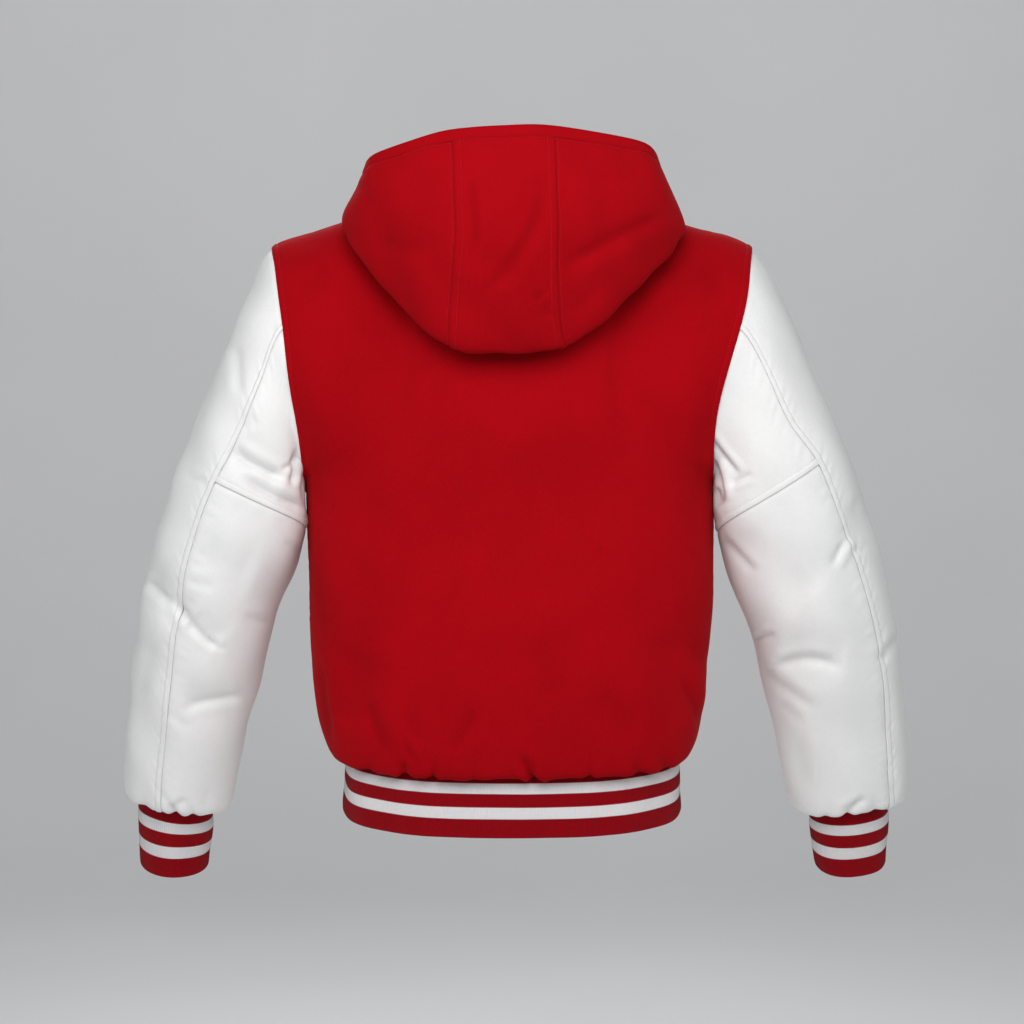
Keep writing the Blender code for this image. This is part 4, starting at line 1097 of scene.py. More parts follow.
def grid_normals(points, like):
    """The normals of a grid of points, on the same side as another set, and +1 or -1 if they were turned."""
    normals = unit(np.cross(np.gradient(points, axis=1), np.gradient(points, axis=0)))
    turned = math.copysign(1, (normals * like).sum())
    return normals * turned, turned


def make_wall(name, points, like, thickness, material, values):
    """A wall on a grid of points. values are grids of numbers kept as attributes of the mesh's points."""
    rows, wide = points.shape[:2]
    normals, turned = grid_normals(points, like)
    half, count = thickness / 2, rows * wide
    outer, inner = points + normals * half, points - normals * half
    number, sheet = grid_faces(rows, wide)
    loop = border(rows, wide)
    first = np.array([number[place] for place in loop])
    middle, normal = points.reshape(-1, 3)[first], normals.reshape(-1, 3)[first]
    out = np.array([outward(points, *place) for place in loop])
    out = unit(out - normal * (out * normal).sum(axis=1, keepdims=True))
    vertices, source = [outer.reshape(-1, 3), inner.reshape(-1, 3)], [number.ravel()] * 2
    inside = [0.0] * count + [1.0] * count
    rings = [first]
    for n, turn in enumerate(RIM_TURNS):
        vertices.append(middle + half * (out * math.cos(turn) + normal * math.sin(turn)))
        source.append(first)
        inside += [0.5 - 0.5 * math.sin(turn)] * len(first)
        rings.append(2 * count + n * len(first) + np.arange(len(first)))
    rings.append(first + count)
    faces = [sheet, sheet[:, ::-1] + count]
    for high, low in zip(rings, rings[1:]):
        faces.append(np.stack([np.roll(high, -1), high, low, np.roll(low, -1)], axis=1))
    faces = np.concatenate(faces)[:, ::-1 if turned < 0 else 1]
    source = np.concatenate(source)
    mesh = bpy.data.meshes.new(name)
    mesh.from_pydata(np.concatenate(vertices).tolist(), [], faces.tolist())
    mesh.polygons.foreach_set("use_smooth", np.ones(len(faces), bool))
    for key, grid in values.items():
        mesh.attributes.new(key, "FLOAT", "POINT").data.foreach_set("value", grid.ravel()[source])
    mesh.attributes.new("inside", "FLOAT", "POINT").data.foreach_set("value", inside)
    cloth_map = np.column_stack([values["run"].ravel()[source], values["rise"].ravel()[source]])
    mesh.uv_layers.new(name="cloth").data.foreach_set("uv", cloth_map[faces.ravel()].ravel())
    mesh.materials.append(material)
    mesh.update()
    body = bpy.data.objects.new(name, mesh)
    scene.collection.objects.link(body)
    return body, outer, normals


print("a wall has", len(RIM_TURNS) + 1, "strips round its edge")


# %% Lay a panel flat
PATTERN_POINTS = 25  # of a panel in each direction, enough to measure it by


def cloth_area(points):
    """The area of a grid of points."""
    diagonals = points[1:, 1:] - points[:-1, :-1], points[1:, :-1] - points[:-1, 1:]
    return float(np.linalg.norm(np.cross(*diagonals), axis=-1).sum() / 2)


def laid_flat(points):
    """The width, the length and the area that a panel is cut to. Its middle surface is unwrapped with
    its angles kept, brought to its true area, and turned so that its middle column runs upright."""
    take = [np.unique(np.linspace(0, count - 1, min(count, PATTERN_POINTS)).round().astype(int))
            for count in points.shape[:2]]
    coarse = points[np.ix_(*take)]
    rows, wide = coarse.shape[:2]
    number, faces = grid_faces(rows, wide)
    mesh = bpy.data.meshes.new("pattern")
    mesh.from_pydata(coarse.reshape(-1, 3).tolist(), [], faces.tolist())
    mesh.uv_layers.new(name="flat")
    body = bpy.data.objects.new("pattern", mesh)
    scene.collection.objects.link(body)
    bpy.context.view_layer.objects.active = body
    body.select_set(True)
    bpy.ops.object.mode_set(mode="EDIT")
    bpy.ops.mesh.select_all(action="SELECT")
    bpy.ops.uv.unwrap(method="ANGLE_BASED", margin=0.0)
    bpy.ops.object.mode_set(mode="OBJECT")
    found = np.zeros(len(mesh.loops) * 2)
    mesh.uv_layers["flat"].data.foreach_get("uv", found)
    flat = np.zeros((rows * wide, 2))
    flat[faces.ravel()] = found.reshape(-1, 2)
    bpy.data.objects.remove(body)
    a, b, c, d = (flat[faces[:, corner]] for corner in range(4))
    spread = np.abs(np.cross(c - a, d - b)).sum() / 2
    area = cloth_area(coarse)
    flat *= math.sqrt(area / spread)
    grain = flat[number[-1, wide // 2]] - flat[number[0, wide // 2]]
    grain = grain / np.linalg.norm(grain)
    size = np.stack([flat @ (grain[1], -grain[0]), flat @ grain]).T
    return (*np.ptp(size, axis=0).tolist(), area)


def strip_size(distances, points):
    """The same for a straight strip: its longest row, its longest column and its area."""
    across, along = distances[..., :2].sum(axis=-1).max(), distances[..., 2:].sum(axis=-1).max()
    return float(across), float(along), cloth_area(points)


print("panels are measured flat")

# %% [markdown]
# ## Materials
# Four effects are shared, so each is a node group: how a surface is shaded and rubbed by its folds and seams,
# the fibres of a felted cloth, the grain of a hide, and the stitches of a knit. Each group gives only masks
# and heights. The materials put their own colours to them, and keep the Principled shader themselves. The
# patterns read Object coordinates, which suit cloth with no visible weave, or the panel's own attributes
# where a knit has to follow the panel.

# %% Node helpers
def feed(tree, socket, value):
    """Links an input to another socket, or sets it. None leaves it as it is."""
    if isinstance(value, bpy.types.NodeSocket):
        tree.links.new(value, socket)
    elif value is not None:
        socket.default_value = value


def put(tree, kind, *values, **settings):
    """Adds a shader node. Values go to its inputs in order, as numbers or as sockets to link."""
    made = tree.nodes.new("ShaderNode" + kind)
    for key, value in settings.items():
        setattr(made, key, value)
    for socket, value in zip(made.inputs, values):
        feed(tree, socket, value)
    return made


def maths(tree, operation, *values):
    """A Math node's output."""
    return put(tree, "Math", *values, operation=operation).outputs[0]


def between(tree, value, low, high, to_low=0.0, to_high=1.0):
    """A value mapped from one range to another, with a soft start and end."""
    made = put(tree, "MapRange", value, low, high, to_low, to_high, interpolation_type="SMOOTHSTEP")
    return made.outputs[0]


def blend(tree, share, first, second):
    """A mix of two colours."""
    made = tree.nodes.new("ShaderNodeMix")
    made.data_type = "RGBA"
    feed(tree, made.inputs[0], share)
    for at, colour in ((6, first), (7, second)):
        feed(tree, made.inputs[at], (*colour, 1) if isinstance(colour, tuple) else colour)
    return made.outputs[2]


def noise(tree, place, scale, detail=2.0, roughness=0.5, distortion=0.0):
    """A noise texture's value."""
    made = put(tree, "TexNoise")
    for key, value in {"Vector": place, "Scale": scale, "Detail": detail, "Roughness": roughness,
                       "Distortion": distortion}.items():
        feed(tree, made.inputs[key], value)
    return made.outputs[0]


def kept(tree, name):
    """One of the attributes that a panel keeps."""
    return put(tree, "Attribute", attribute_name=name).outputs["Fac"]


def effect(name, inputs, outputs):
    """An empty node group: its tree, its inputs and its outputs by name."""
    tree = bpy.data.node_groups.new(name, "ShaderNodeTree")
    for label, value in inputs.items():
        kind = "NodeSocketVector" if value is None else "NodeSocketFloat"
        socket = tree.interface.new_socket(label, in_out="INPUT", socket_type=kind)
        if value is not None:
            socket.default_value = value
    for label in outputs:
        tree.interface.new_socket(label, in_out="OUTPUT", socket_type="NodeSocketFloat")
    return tree, tree.nodes.new("NodeGroupInput").outputs, tree.nodes.new("NodeGroupOutput").inputs


def placed(tree, group, **values):
    """Puts a node group into a material and sets or links its inputs."""
    made = tree.nodes.new("ShaderNodeGroup")
    made.node_tree = group
    for key, value in values.items():
        feed(tree, made.inputs[key], value)
    return made.outputs


print("node helpers ready")

# %% Shared effects
def make_painted_shade_and_rub():
    """Shade in folds and seam grooves, and rub on raised places."""
    tree, given, made = effect("painted_fold_shade_and_rub", {"Place": None, "Fold": 0.0, "Seam": 0.02, "Depth": 0.003},
                               ("Shade", "Rub"))
    depth = maths(tree, "DIVIDE", given["Fold"], given["Depth"])
    # Shade is painted shade: darker in the seam groove and in the troughs of the folds. Rub is real wear on
    # raised places.
    groove = between(tree, given["Seam"], 0.0008, 0.0042, 1.0, 0.0)
    low = between(tree, maths(tree, "MULTIPLY", depth, -1.0), 0.1, 1.4)
    cloud = noise(tree, given["Place"], 34.0, 3.0)
    shade = maths(tree, "MULTIPLY_ADD", groove, 0.3, low)
    tree.links.new(maths(tree, "MULTIPLY", shade, between(tree, cloud, 0.2, 0.6, 0.6, 1.0)), made["Shade"])
    high = between(tree, depth, 0.15, 0.9)
    tree.links.new(maths(tree, "MULTIPLY", high, between(tree, cloud, 0.35, 0.65)), made["Rub"])
    return tree


def make_felt():
    """Felted wool: short fibres lying in all directions, and a slow change of nap."""
    tree, given, made = effect("felted_fibres", {"Place": None, "Fibre": 900.0}, ("Height", "Mottle", "Nap"))
    fine = noise(tree, given["Place"], given["Fibre"], 4.0, 0.65, 0.6)
    clump = noise(tree, given["Place"], 260.0, 3.0, 0.6, 0.8)
    tree.links.new(maths(tree, "MULTIPLY_ADD", clump, 0.6, fine), made["Height"])
    tree.links.new(between(tree, maths(tree, "ADD", fine, clump), 0.7, 1.3), made["Mottle"])
    tree.links.new(noise(tree, given["Place"], 11.0, 3.0, 0.5), made["Nap"])
    return tree


def make_hide():
    """Smooth leather: a fine pebble of cells, hair-thin creases between them, and a slow change of tone."""
    tree, given, made = effect("hide_grain", {"Place": None, "Cell": 620.0}, ("Height", "Tone", "Crease"))
    cells = put(tree, "TexVoronoi", feature="SMOOTH_F1")
    tree.links.new(given["Place"], cells.inputs["Vector"])
    tree.links.new(given["Cell"], cells.inputs["Scale"])
    wrinkle = noise(tree, given["Place"], 120.0, 3.0, 0.6, 1.2)
    line = maths(tree, "ABSOLUTE", maths(tree, "SUBTRACT", wrinkle, 0.5))
    crease = between(tree, line, 0.0, 0.035, 1.0, 0.0)
    height = maths(tree, "MULTIPLY_ADD", cells.outputs["Distance"], -0.6, wrinkle)
    tree.links.new(maths(tree, "MULTIPLY_ADD", crease, -0.35, height), made["Height"])
    tree.links.new(noise(tree, given["Place"], 7.0, 4.0, 0.55), made["Tone"])
    tree.links.new(crease, made["Crease"])
    return tree


def make_knit():
    """Knit stitches: a V in each wale, row on row. Wale counts across, Course counts down."""
    tree, given, made = effect("knit_stitches", {"Wale": 0.0, "Course": 0.0, "Place": None},
                               ("Height", "Tooth", "Fuzz"))
    across = maths(tree, "ABSOLUTE", maths(tree, "SUBTRACT", maths(tree, "FRACT", given["Wale"]), 0.5))
    tooth = maths(tree, "MULTIPLY", across, 1.3)
    loop = maths(tree, "ABSOLUTE", maths(tree, "SINE", maths(
        tree, "MULTIPLY", maths(tree, "ADD", given["Course"], tooth), math.pi)))
    valley = between(tree, across, 0.3, 0.5, 1.0, 0.0)
    tree.links.new(maths(tree, "MULTIPLY", loop, valley), made["Height"])
    tree.links.new(tooth, made["Tooth"])
    tree.links.new(noise(tree, given["Place"], 700.0, 3.0, 0.6), made["Fuzz"])
    return tree


PAINTED_SHADE_AND_RUB, FELT, HIDE, KNIT = make_painted_shade_and_rub(), make_felt(), make_hide(), make_knit()
print("shared effects:", ", ".join(group.name for group in (PAINTED_SHADE_AND_RUB, FELT, HIDE, KNIT)))


# %% Start and end of a material
def begin(name):
    """A material with its shader, and the Object coordinates."""
    made = bpy.data.materials.new(name)
    made.use_nodes = True
    tree = made.node_tree
    return made, tree, tree.nodes["Principled BSDF"], put(tree, "TexCoord").outputs["Object"]


def bumped(tree, shader, height, strength, distance):
    """Links a height to the shader's normal."""
    bump = tree.nodes.new("ShaderNodeBump")
    bump.inputs["Strength"].default_value = strength
    bump.inputs["Distance"].default_value = distance
    tree.links.new(height, bump.inputs["Height"])
    tree.links.new(bump.outputs[0], shader.inputs["Normal"])


def plain_numbers(shader, **values):
    """Numbers and colours that are the same all over go straight to the shader's sockets."""
    for key, value in values.items():
        shader.inputs[key.replace("_", " ")].default_value = value


print("ready for materials")

# %% Wool
def make_wool():
    """Red melton: dense, matt, with a soft bloom of fibre."""
    made, tree, shader, place = begin("red_melton")
    felt = placed(tree, FELT, Place=place, Fibre=950.0)
    painted_shade_and_rub = placed(tree, PAINTED_SHADE_AND_RUB, Place=place, Fold=kept(tree, "fold"), Seam=kept(tree, "seam"), Depth=0.003)
    deep, bright = (0.33, 0.0005, 0.0036), (0.376, 0.0008, 0.0045)
    # folded is a painted shade colour for folds and seam grooves; rubbed is the lighter red of rubbed nap.
    fibre, folded, rubbed = (0.425, 0.0027, 0.0072), (0.205, 0.0003, 0.0018), (0.45, 0.007, 0.0125)
    tone = blend(tree, between(tree, felt["Nap"], 0.3, 0.7), deep, bright)
    tone = blend(tree, maths(tree, "MULTIPLY", felt["Mottle"], 0.3), tone, fibre)
    # painted shade: the red turns towards folded in the troughs of folds and in seam grooves
    tone = blend(tree, maths(tree, "MULTIPLY", painted_shade_and_rub["Shade"], 0.5), tone, folded)
    tone = blend(tree, maths(tree, "MULTIPLY", painted_shade_and_rub["Rub"], 0.25), tone, rubbed)
    tree.links.new(tone, shader.inputs["Base Color"])
    tree.links.new(between(tree, felt["Mottle"], 0.0, 1.0, 0.84, 0.96), shader.inputs["Roughness"])
    plain_numbers(shader, Sheen_Weight=0.08, Sheen_Roughness=0.45, Sheen_Tint=(1.0, 0.1, 0.12, 1),
                  Specular_IOR_Level=0.06)
    bumped(tree, shader, felt["Height"], 0.55, 0.0006)
    return made


wool = make_wool()
print("material:", wool.name)

# %% Leather
def make_leather():
    """White leather: satin, with a fine grain, painted shade in its folds and seam grooves, and a rough back.
    """
    made, tree, shader, place = begin("white_leather")
    hide = placed(tree, HIDE, Place=place, Cell=640.0)
    painted_shade_and_rub = placed(tree, PAINTED_SHADE_AND_RUB, Place=place, Fold=kept(tree, "fold"), Seam=kept(tree, "seam"), Depth=0.003)
    inside = between(tree, kept(tree, "inside"), 0.5, 0.9)
    dull, clean = (0.805, 0.808, 0.803), (0.86, 0.86, 0.85)
    grain, folded, raw_back = (0.6, 0.59, 0.57), (0.53, 0.53, 0.53), (0.66, 0.64, 0.6)
    tone = blend(tree, between(tree, hide["Tone"], 0.3, 0.7), dull, clean)
    tone = blend(tree, maths(tree, "MULTIPLY", hide["Crease"], 0.1), tone, grain)
    # painted shade: grey in the troughs of folds and in seam grooves
    tone = blend(tree, maths(tree, "MULTIPLY", painted_shade_and_rub["Shade"], 0.3), tone, folded)
    tone = blend(tree, inside, tone, raw_back)
    tree.links.new(tone, shader.inputs["Base Color"])
    gloss = maths(tree, "MULTIPLY_ADD", painted_shade_and_rub["Rub"], -0.07, between(tree, hide["Tone"], 0.3, 0.7, 0.4, 0.5))
    gloss = maths(tree, "ADD", gloss, maths(tree, "MULTIPLY", inside, 0.45))
    tree.links.new(gloss, shader.inputs["Roughness"])
    plain_numbers(shader, Specular_IOR_Level=0.42)
    bumped(tree, shader, hide["Height"], 0.3, 0.0005)
    return made


leather = make_leather()
print("material:", leather.name)

# %% Rib knit
COURSE = 0.00125  # height of one row of knit stitches


def make_rib(name, bands):
    """Red rib knit with two white stripes. bands are how far down each stripe ends."""
    made, tree, shader, place = begin(name)
    knit = placed(tree, KNIT, Place=place, Wale=kept(tree, "wale"),
                  Course=maths(tree, "DIVIDE", kept(tree, "rise"), COURSE))
    tooth = maths(tree, "MULTIPLY_ADD", knit["Tooth"], 0.016, kept(tree, "down"))
    edges = [maths(tree, "GREATER_THAN", tooth, band) for band in bands[:4]]
    white = maths(tree, "ADD", maths(tree, "SUBTRACT", edges[0], edges[1]),
                  maths(tree, "SUBTRACT", edges[2], edges[3]))
    fuzz = between(tree, knit["Fuzz"], 0.3, 0.7)
    red = blend(tree, fuzz, (0.268, 0.0006, 0.0046), (0.35, 0.0011, 0.0074))
    pale = blend(tree, fuzz, (0.8, 0.782, 0.79), (0.89, 0.876, 0.884))
    tone = blend(tree, white, red, pale)
    # painted shade: darker where the stitches sink, between the loops and the wales
    gap = maths(tree, "SUBTRACT", 1.0, knit["Height"])
    painted_gap_shade = blend(tree, white, (0.12, 0.0003, 0.002), (0.5, 0.485, 0.495))
    tone = blend(tree, maths(tree, "MULTIPLY", gap, 0.34), tone, painted_gap_shade)
    painted_shade_and_rub = placed(tree, PAINTED_SHADE_AND_RUB, Place=place, Fold=kept(tree, "fold"), Seam=kept(tree, "seam"), Depth=0.003)
    # painted shade beside the seam groove
    tone = blend(tree, maths(tree, "MULTIPLY", painted_shade_and_rub["Shade"], 0.25), tone, (0.1, 0.01, 0.015))
    tree.links.new(tone, shader.inputs["Base Color"])
    tree.links.new(between(tree, knit["Fuzz"], 0.2, 0.8, 0.8, 0.95), shader.inputs["Roughness"])
    plain_numbers(shader, Sheen_Weight=0.04, Sheen_Roughness=0.5, Specular_IOR_Level=0.08)
    bumped(tree, shader, maths(tree, "MULTIPLY_ADD", knit["Fuzz"], 0.25, knit["Height"]), 0.7, 0.0005)
    return made


hem_knit, cuff_knit = make_rib("rib_knit_hem", HEM_BANDS), make_rib("rib_knit_cuff", CUFF_BANDS)
print("materials:", hem_knit.name, cuff_knit.name)

# %% Thread and nickel
def make_thread(name, dark, light):
    """Sewing thread: two plies twisted, with a slight shine."""
    made, tree, shader, place = begin(name)
    ply = noise(tree, place, 1500.0, 2.0, 0.5)
    tree.links.new(blend(tree, between(tree, ply, 0.3, 0.7), dark, light), shader.inputs["Base Color"])
    tree.links.new(between(tree, ply, 0.3, 0.7, 0.5, 0.66), shader.inputs["Roughness"])
    plain_numbers(shader, Specular_IOR_Level=0.12)
    bumped(tree, shader, ply, 0.4, 0.0002)
    return made


def make_nickel():
    """Nickel plate: bright, finely brushed in use, with small duller patches."""
    made, tree, shader, place = begin("nickel")
    patch_tone = noise(tree, place, 420.0, 3.0, 0.6)
    scratch = noise(tree, place, 2600.0, 2.0, 0.6, 2.0)
    share = between(tree, patch_tone, 0.35, 0.7)
    tree.links.new(blend(tree, share, (0.6, 0.6, 0.61), (0.72, 0.72, 0.71)), shader.inputs["Base Color"])
    dull = between(tree, patch_tone, 0.3, 0.7, 0.16, 0.3)
    tree.links.new(maths(tree, "MULTIPLY_ADD", scratch, 0.12, dull), shader.inputs["Roughness"])
    plain_numbers(shader, Metallic=1.0)
    bumped(tree, shader, scratch, 0.12, 0.0001)
    return made


red_thread = make_thread("red_thread", (0.4, 0.005, 0.012), (0.5, 0.012, 0.022))
white_thread = make_thread("white_thread", (0.7, 0.69, 0.67), (0.83, 0.82, 0.8))
nickel = make_nickel()
print("materials:", red_thread.name, white_thread.name, nickel.name)

# %% Floor paint
paint, tree, shader, place = begin("pale_floor")
cloud = noise(tree, place, 0.8, 2.0)
tree.links.new(blend(tree, between(tree, cloud, 0.3, 0.7), (0.8, 0.8, 0.8), (0.83, 0.83, 0.83)),
               shader.inputs["Base Color"])
plain_numbers(shader, Roughness=0.8)
floor.data.materials.append(paint)
print("material:", paint.name)

# %% [markdown]
# ## Body, sleeves and hood
# Now the panels are cut, in the way a maker lays out a pattern: which part of the surface each takes, what
# seam is at each edge, and how closely its points lie. Folds run down the body, so its points are closer
# across than along. On the sleeves they run across, so it is the other way round. All the panels of a part
# share the same creases and waviness, which therefore run on through the seams.

# %% Layout of the panels
WOOL, LEATHER, RIB = 0.0021, 0.0017, 0.0026  # thickness
PART_LOOK = {  # part: material, thickness, length and size of the waviness, size of the puckers
    "body": (wool, WOOL, 0.075, 0.001, 0.00022),
    "hood": (wool, WOOL, 0.05, 0.0009, 0.0002),
    "sleeve": (leather, LEATHER, 0.06, 0.0009, 0.00026),
}
BODY_ROWS = (0, len(TORSO) - 1 + UPPER_ROWS)
BACK_COLUMNS, FRONT_COLUMNS = (0, 2 * len(BACK_S) - 2), (0, len(FRONT_S) - 1)
HOOD_ROWS, BAND_ROWS = (0, 8), (8, 9)
MIDDLE = len(HOOD) - 1           # the hood's column at the centre back
HOOD_RIGHT, HOOD_LEFT = (0, MIDDLE - HOOD_CENTRE_COLUMN), (MIDDLE + HOOD_CENTRE_COLUMN, 2 * MIDDLE)
TOP = (0, SLEEVE_AROUND - FRONT_SEAM_COLUMN + BACK_SEAM_COLUMN)
UNDER = (TOP[1], SLEEVE_AROUND)
SLEEVE_SPACING = 0.0028          # along the sleeve
PANELS = {  # name: part, whole grid, rows, columns, seams at first, last, low and high edge, spacing
    "back": ("body", "back", BODY_ROWS, BACK_COLUMNS,
             ("armhole", "armhole", "plain", "shoulder"), (0.0028, 0.0056)),
    "front_left": ("body", "front_left", BODY_ROWS, FRONT_COLUMNS,
                   ("armhole", "faced", "plain", "under"), (0.004, 0.0068)),
    "front_right": ("body", "front_right", BODY_ROWS, FRONT_COLUMNS,
                    ("armhole", "faced", "plain", "under"), (0.004, 0.0068)),
    "hood_side_right": ("hood", "hood", HOOD_ROWS, HOOD_RIGHT,
                        ("rim", "open_close", "plain", "band"), (0.0038, 0.0038)),
    "hood_centre": ("hood", "hood", HOOD_ROWS, (HOOD_RIGHT[1], HOOD_LEFT[0]),
                    ("open_wide", "open_wide", "plain", "band"), (0.003, 0.0034)),
    "hood_side_left": ("hood", "hood", HOOD_ROWS, HOOD_LEFT,
                       ("open_close", "rim", "plain", "band"), (0.0038, 0.0038)),
    "hood_band": ("hood", "hood", BAND_ROWS, (0, 2 * MIDDLE),
                  ("rim", "rim", "plain", "rim"), (0.0034, 0.0022)),
}
SLEEVE_PANELS = {  # name: rows, columns, seams, spacing across
    "sleeve_top_": ((0, len(SLEEVE)), TOP, ("over", "over", "under", "plain"), 0.0044),
    "sleeve_under_upper_": ((0, CROSS_SEAM_RING), UNDER, ("under", "under", "under", "over"), 0.0036),
    "sleeve_under_lower_": ((CROSS_SEAM_RING, len(SLEEVE)), UNDER,
                            ("under", "under", "under", "plain"), 0.004),
}
for side in SIDES:
    for word, (rows, columns, forms, across) in SLEEVE_PANELS.items():
        spacing = (across, SLEEVE_SPACING)
        PANELS[word + side] = ("sleeve", "sleeve_" + side, rows, columns, forms, spacing)
print("panels:", len(PANELS))

# %% Cut the panels
WAVE_SEED, PUCKER_SEED = 7, 11
CALM_LAP, CALM_BAND = 0.05, 0.4  # no waves at the lap, full ones this far from it; the share on the band
SEAM_SEEN = 0.02                 # the distance to a seam is kept up to this
CUT = {}                         # name: what was cut, for the stitches and the sheets
for name, (part, whole, rows, columns, forms, spacing) in PANELS.items():
    material, thickness, wave, wave_size, pucker_size = PART_LOOK[part]
    near = [near_rows(form, thickness) for form in forms]
    grid = read_panel(whole, rows, columns, near, spacing)
    points, normals, distances = grid[..., :3], grid[..., 3:6], grid[..., 6:10]
    run, rise = distances[..., 0], distances[..., 2]
    height = waviness(points, wave, wave_size, WAVE_SEED)
    if name in ("front_left", "front_right", "hood_band"):
        height *= ease(np.abs(points[..., 0]) / CALM_LAP) if part == "body" else CALM_BAND
    fold = crease_height(part, points, normals)
    if part == "body":
        fold += gather_height(part, points, rise)
    elif name.startswith(("sleeve_top", "sleeve_under_lower")):
        fold += gather_height(part, points, distances[..., 3])
    for n, form in enumerate(forms):
        height = height + seam_height(form, distances[..., n], points)
        if SEAM_FORMS[form][0]:
            height = height + pucker(distances[..., n], rise if n < 2 else run, pucker_size, PUCKER_SEED + n)
    points = points + normals * (height + fold)[..., None]
    values = {"run": run, "rise": rise, "fold": fold, "seam": np.minimum(distances.min(axis=-1), SEAM_SEEN)}
    body, outer, normals = make_wall(name + "_cloth", points, normals, thickness, material, values)
    flat = strip_size(distances, grid[..., :3]) if name == "hood_band" else laid_flat(grid[..., :3])
    CUT[name] = {"body": body, "outer": outer, "normals": normals, "near": near, "flat": flat}
    print("%-26s %4d x %3d points, cut %.3f x %.3f m, %.4f m2" % (name, *points.shape[1::-1], *flat))

# %% [markdown]
# ## Rib knit
# The hem and the cuffs are knitted strips with fine upright ribs. There are hundreds of ribs, and they follow
# the strip, so Geometry Nodes raise them: each point of the strip carries its place in its rib, and Set
# Position moves it out along the surface's normal by a wave. Painting the ribs on would look flat at the
# lower edge, where they are seen in outline.

# %% The rib tree
def geometry_tree(name, inputs):
    """An empty Geometry Nodes tree with a geometry in and out, and named inputs."""
    tree = bpy.data.node_groups.new(name, "GeometryNodeTree")
    tree.interface.new_socket("Geometry", in_out="INPUT", socket_type="NodeSocketGeometry")
    for label, (kind, value) in inputs.items():
        socket = tree.interface.new_socket(label, in_out="INPUT", socket_type="NodeSocket" + kind)
        if value is not None:
            socket.default_value = value
    tree.interface.new_socket("Geometry", in_out="OUTPUT", socket_type="NodeSocketGeometry")
    return tree, tree.nodes.new("NodeGroupInput").outputs, tree.nodes.new("NodeGroupOutput").inputs


def add(tree, kind, links=None, **settings):
    """Adds a node by its full name. links gives its inputs by name or number."""
    made = tree.nodes.new(kind)
    for key, value in settings.items():
        setattr(made, key, value)
    for key, value in (links or {}).items():
        feed(tree, made.inputs[key], value)
    return made


def run_tree(body, tree, values):
    """Runs a tree on an object with these inputs and keeps the result as a plain mesh."""
    modifier = body.modifiers.new("made", "NODES")
    modifier.node_group = tree
    names = {item.name: item.identifier for item in tree.interface.items_tree if item.in_out == "INPUT"}
    for label, value in values.items():
        modifier[names[label]] = value
    bpy.context.view_layer.update()
    graph = bpy.context.evaluated_depsgraph_get()
    mesh = bpy.data.meshes.new_from_object(body.evaluated_get(graph), depsgraph=graph)
    body.modifiers.remove(modifier)
    body.data = mesh
    return body


ribs, given, made = geometry_tree("upright_ribs", {
    "Rib height": ("Float", 0.0006), "Material": ("Material", None)})
wale = add(ribs, "GeometryNodeInputNamedAttribute", {"Name": "wale"}, data_type="FLOAT").outputs[0]
mask = add(ribs, "GeometryNodeInputNamedAttribute", {"Name": "ribbed"}, data_type="FLOAT").outputs[0]
turn = add(ribs, "ShaderNodeMath", {0: wale, 1: 2 * math.pi}, operation="MULTIPLY").outputs[0]
wave = add(ribs, "ShaderNodeMath", {0: turn}, operation="COSINE").outputs[0]
size = add(ribs, "ShaderNodeMath", {0: wave, 1: given["Rib height"]}, operation="MULTIPLY").outputs[0]
size = add(ribs, "ShaderNodeMath", {0: size, 1: mask}, operation="MULTIPLY").outputs[0]
normal = add(ribs, "GeometryNodeInputNormal").outputs[0]
offset = add(ribs, "ShaderNodeVectorMath", {0: normal, "Scale": size}, operation="SCALE").outputs[0]
moved = add(ribs, "GeometryNodeSetPosition", {"Geometry": given["Geometry"], "Offset": offset}).outputs[0]
moved = add(ribs, "GeometryNodeRealizeInstances", {0: moved}).outputs[0]
moved = add(ribs, "GeometryNodeSetMaterial", {"Geometry": moved, "Material": given["Material"]}).outputs[0]
ribs.links.new(moved, made["Geometry"])
print("tree:", ribs.name, len(ribs.nodes), "nodes")

# %% Knit the hem and the cuffs
RIB_PITCH = 0.0024
RIB_STEPS = 3  # points across one rib
RIB_HEIGHT = 0.00034
KNIT_NEAR = [(RIB / 2, 0.0026)] * 2 + [(RIB / 2, 0.003)] * 2
KNIT_WAVE, KNIT_WAVE_SIZE, KNIT_SEED = 0.045, 0.0007, 21
HEM_COLUMNS = 2 * (len(BACK_S) + len(FRONT_S) - 2)
OUTER_SHEET = 0.4  # a wall's "inside" attribute runs from 0, outer, to 1, inner
KNITS = {  # name: whole grid, columns, edges, spacing down, material
    "hem_rib": ("hem", HEM_COLUMNS, ("rim", "rim", "plain", "rim"), 0.0044, hem_knit),
    "cuff_left": ("cuff_left", SLEEVE_AROUND, ("plain", "plain", "plain", "rim"), 0.004, cuff_knit),
    "cuff_right": ("cuff_right", SLEEVE_AROUND, ("plain", "plain", "plain", "rim"), 0.004, cuff_knit),
}


def keep_outside(body, key):
    """Sets an attribute to nothing on a wall's inner sheet."""
    inside, value = np.zeros((2, len(body.data.vertices)))
    body.data.attributes["inside"].data.foreach_get("value", inside)
    body.data.attributes[key].data.foreach_get("value", value)
    body.data.attributes[key].data.foreach_set("value", value * (inside < OUTER_SHEET))


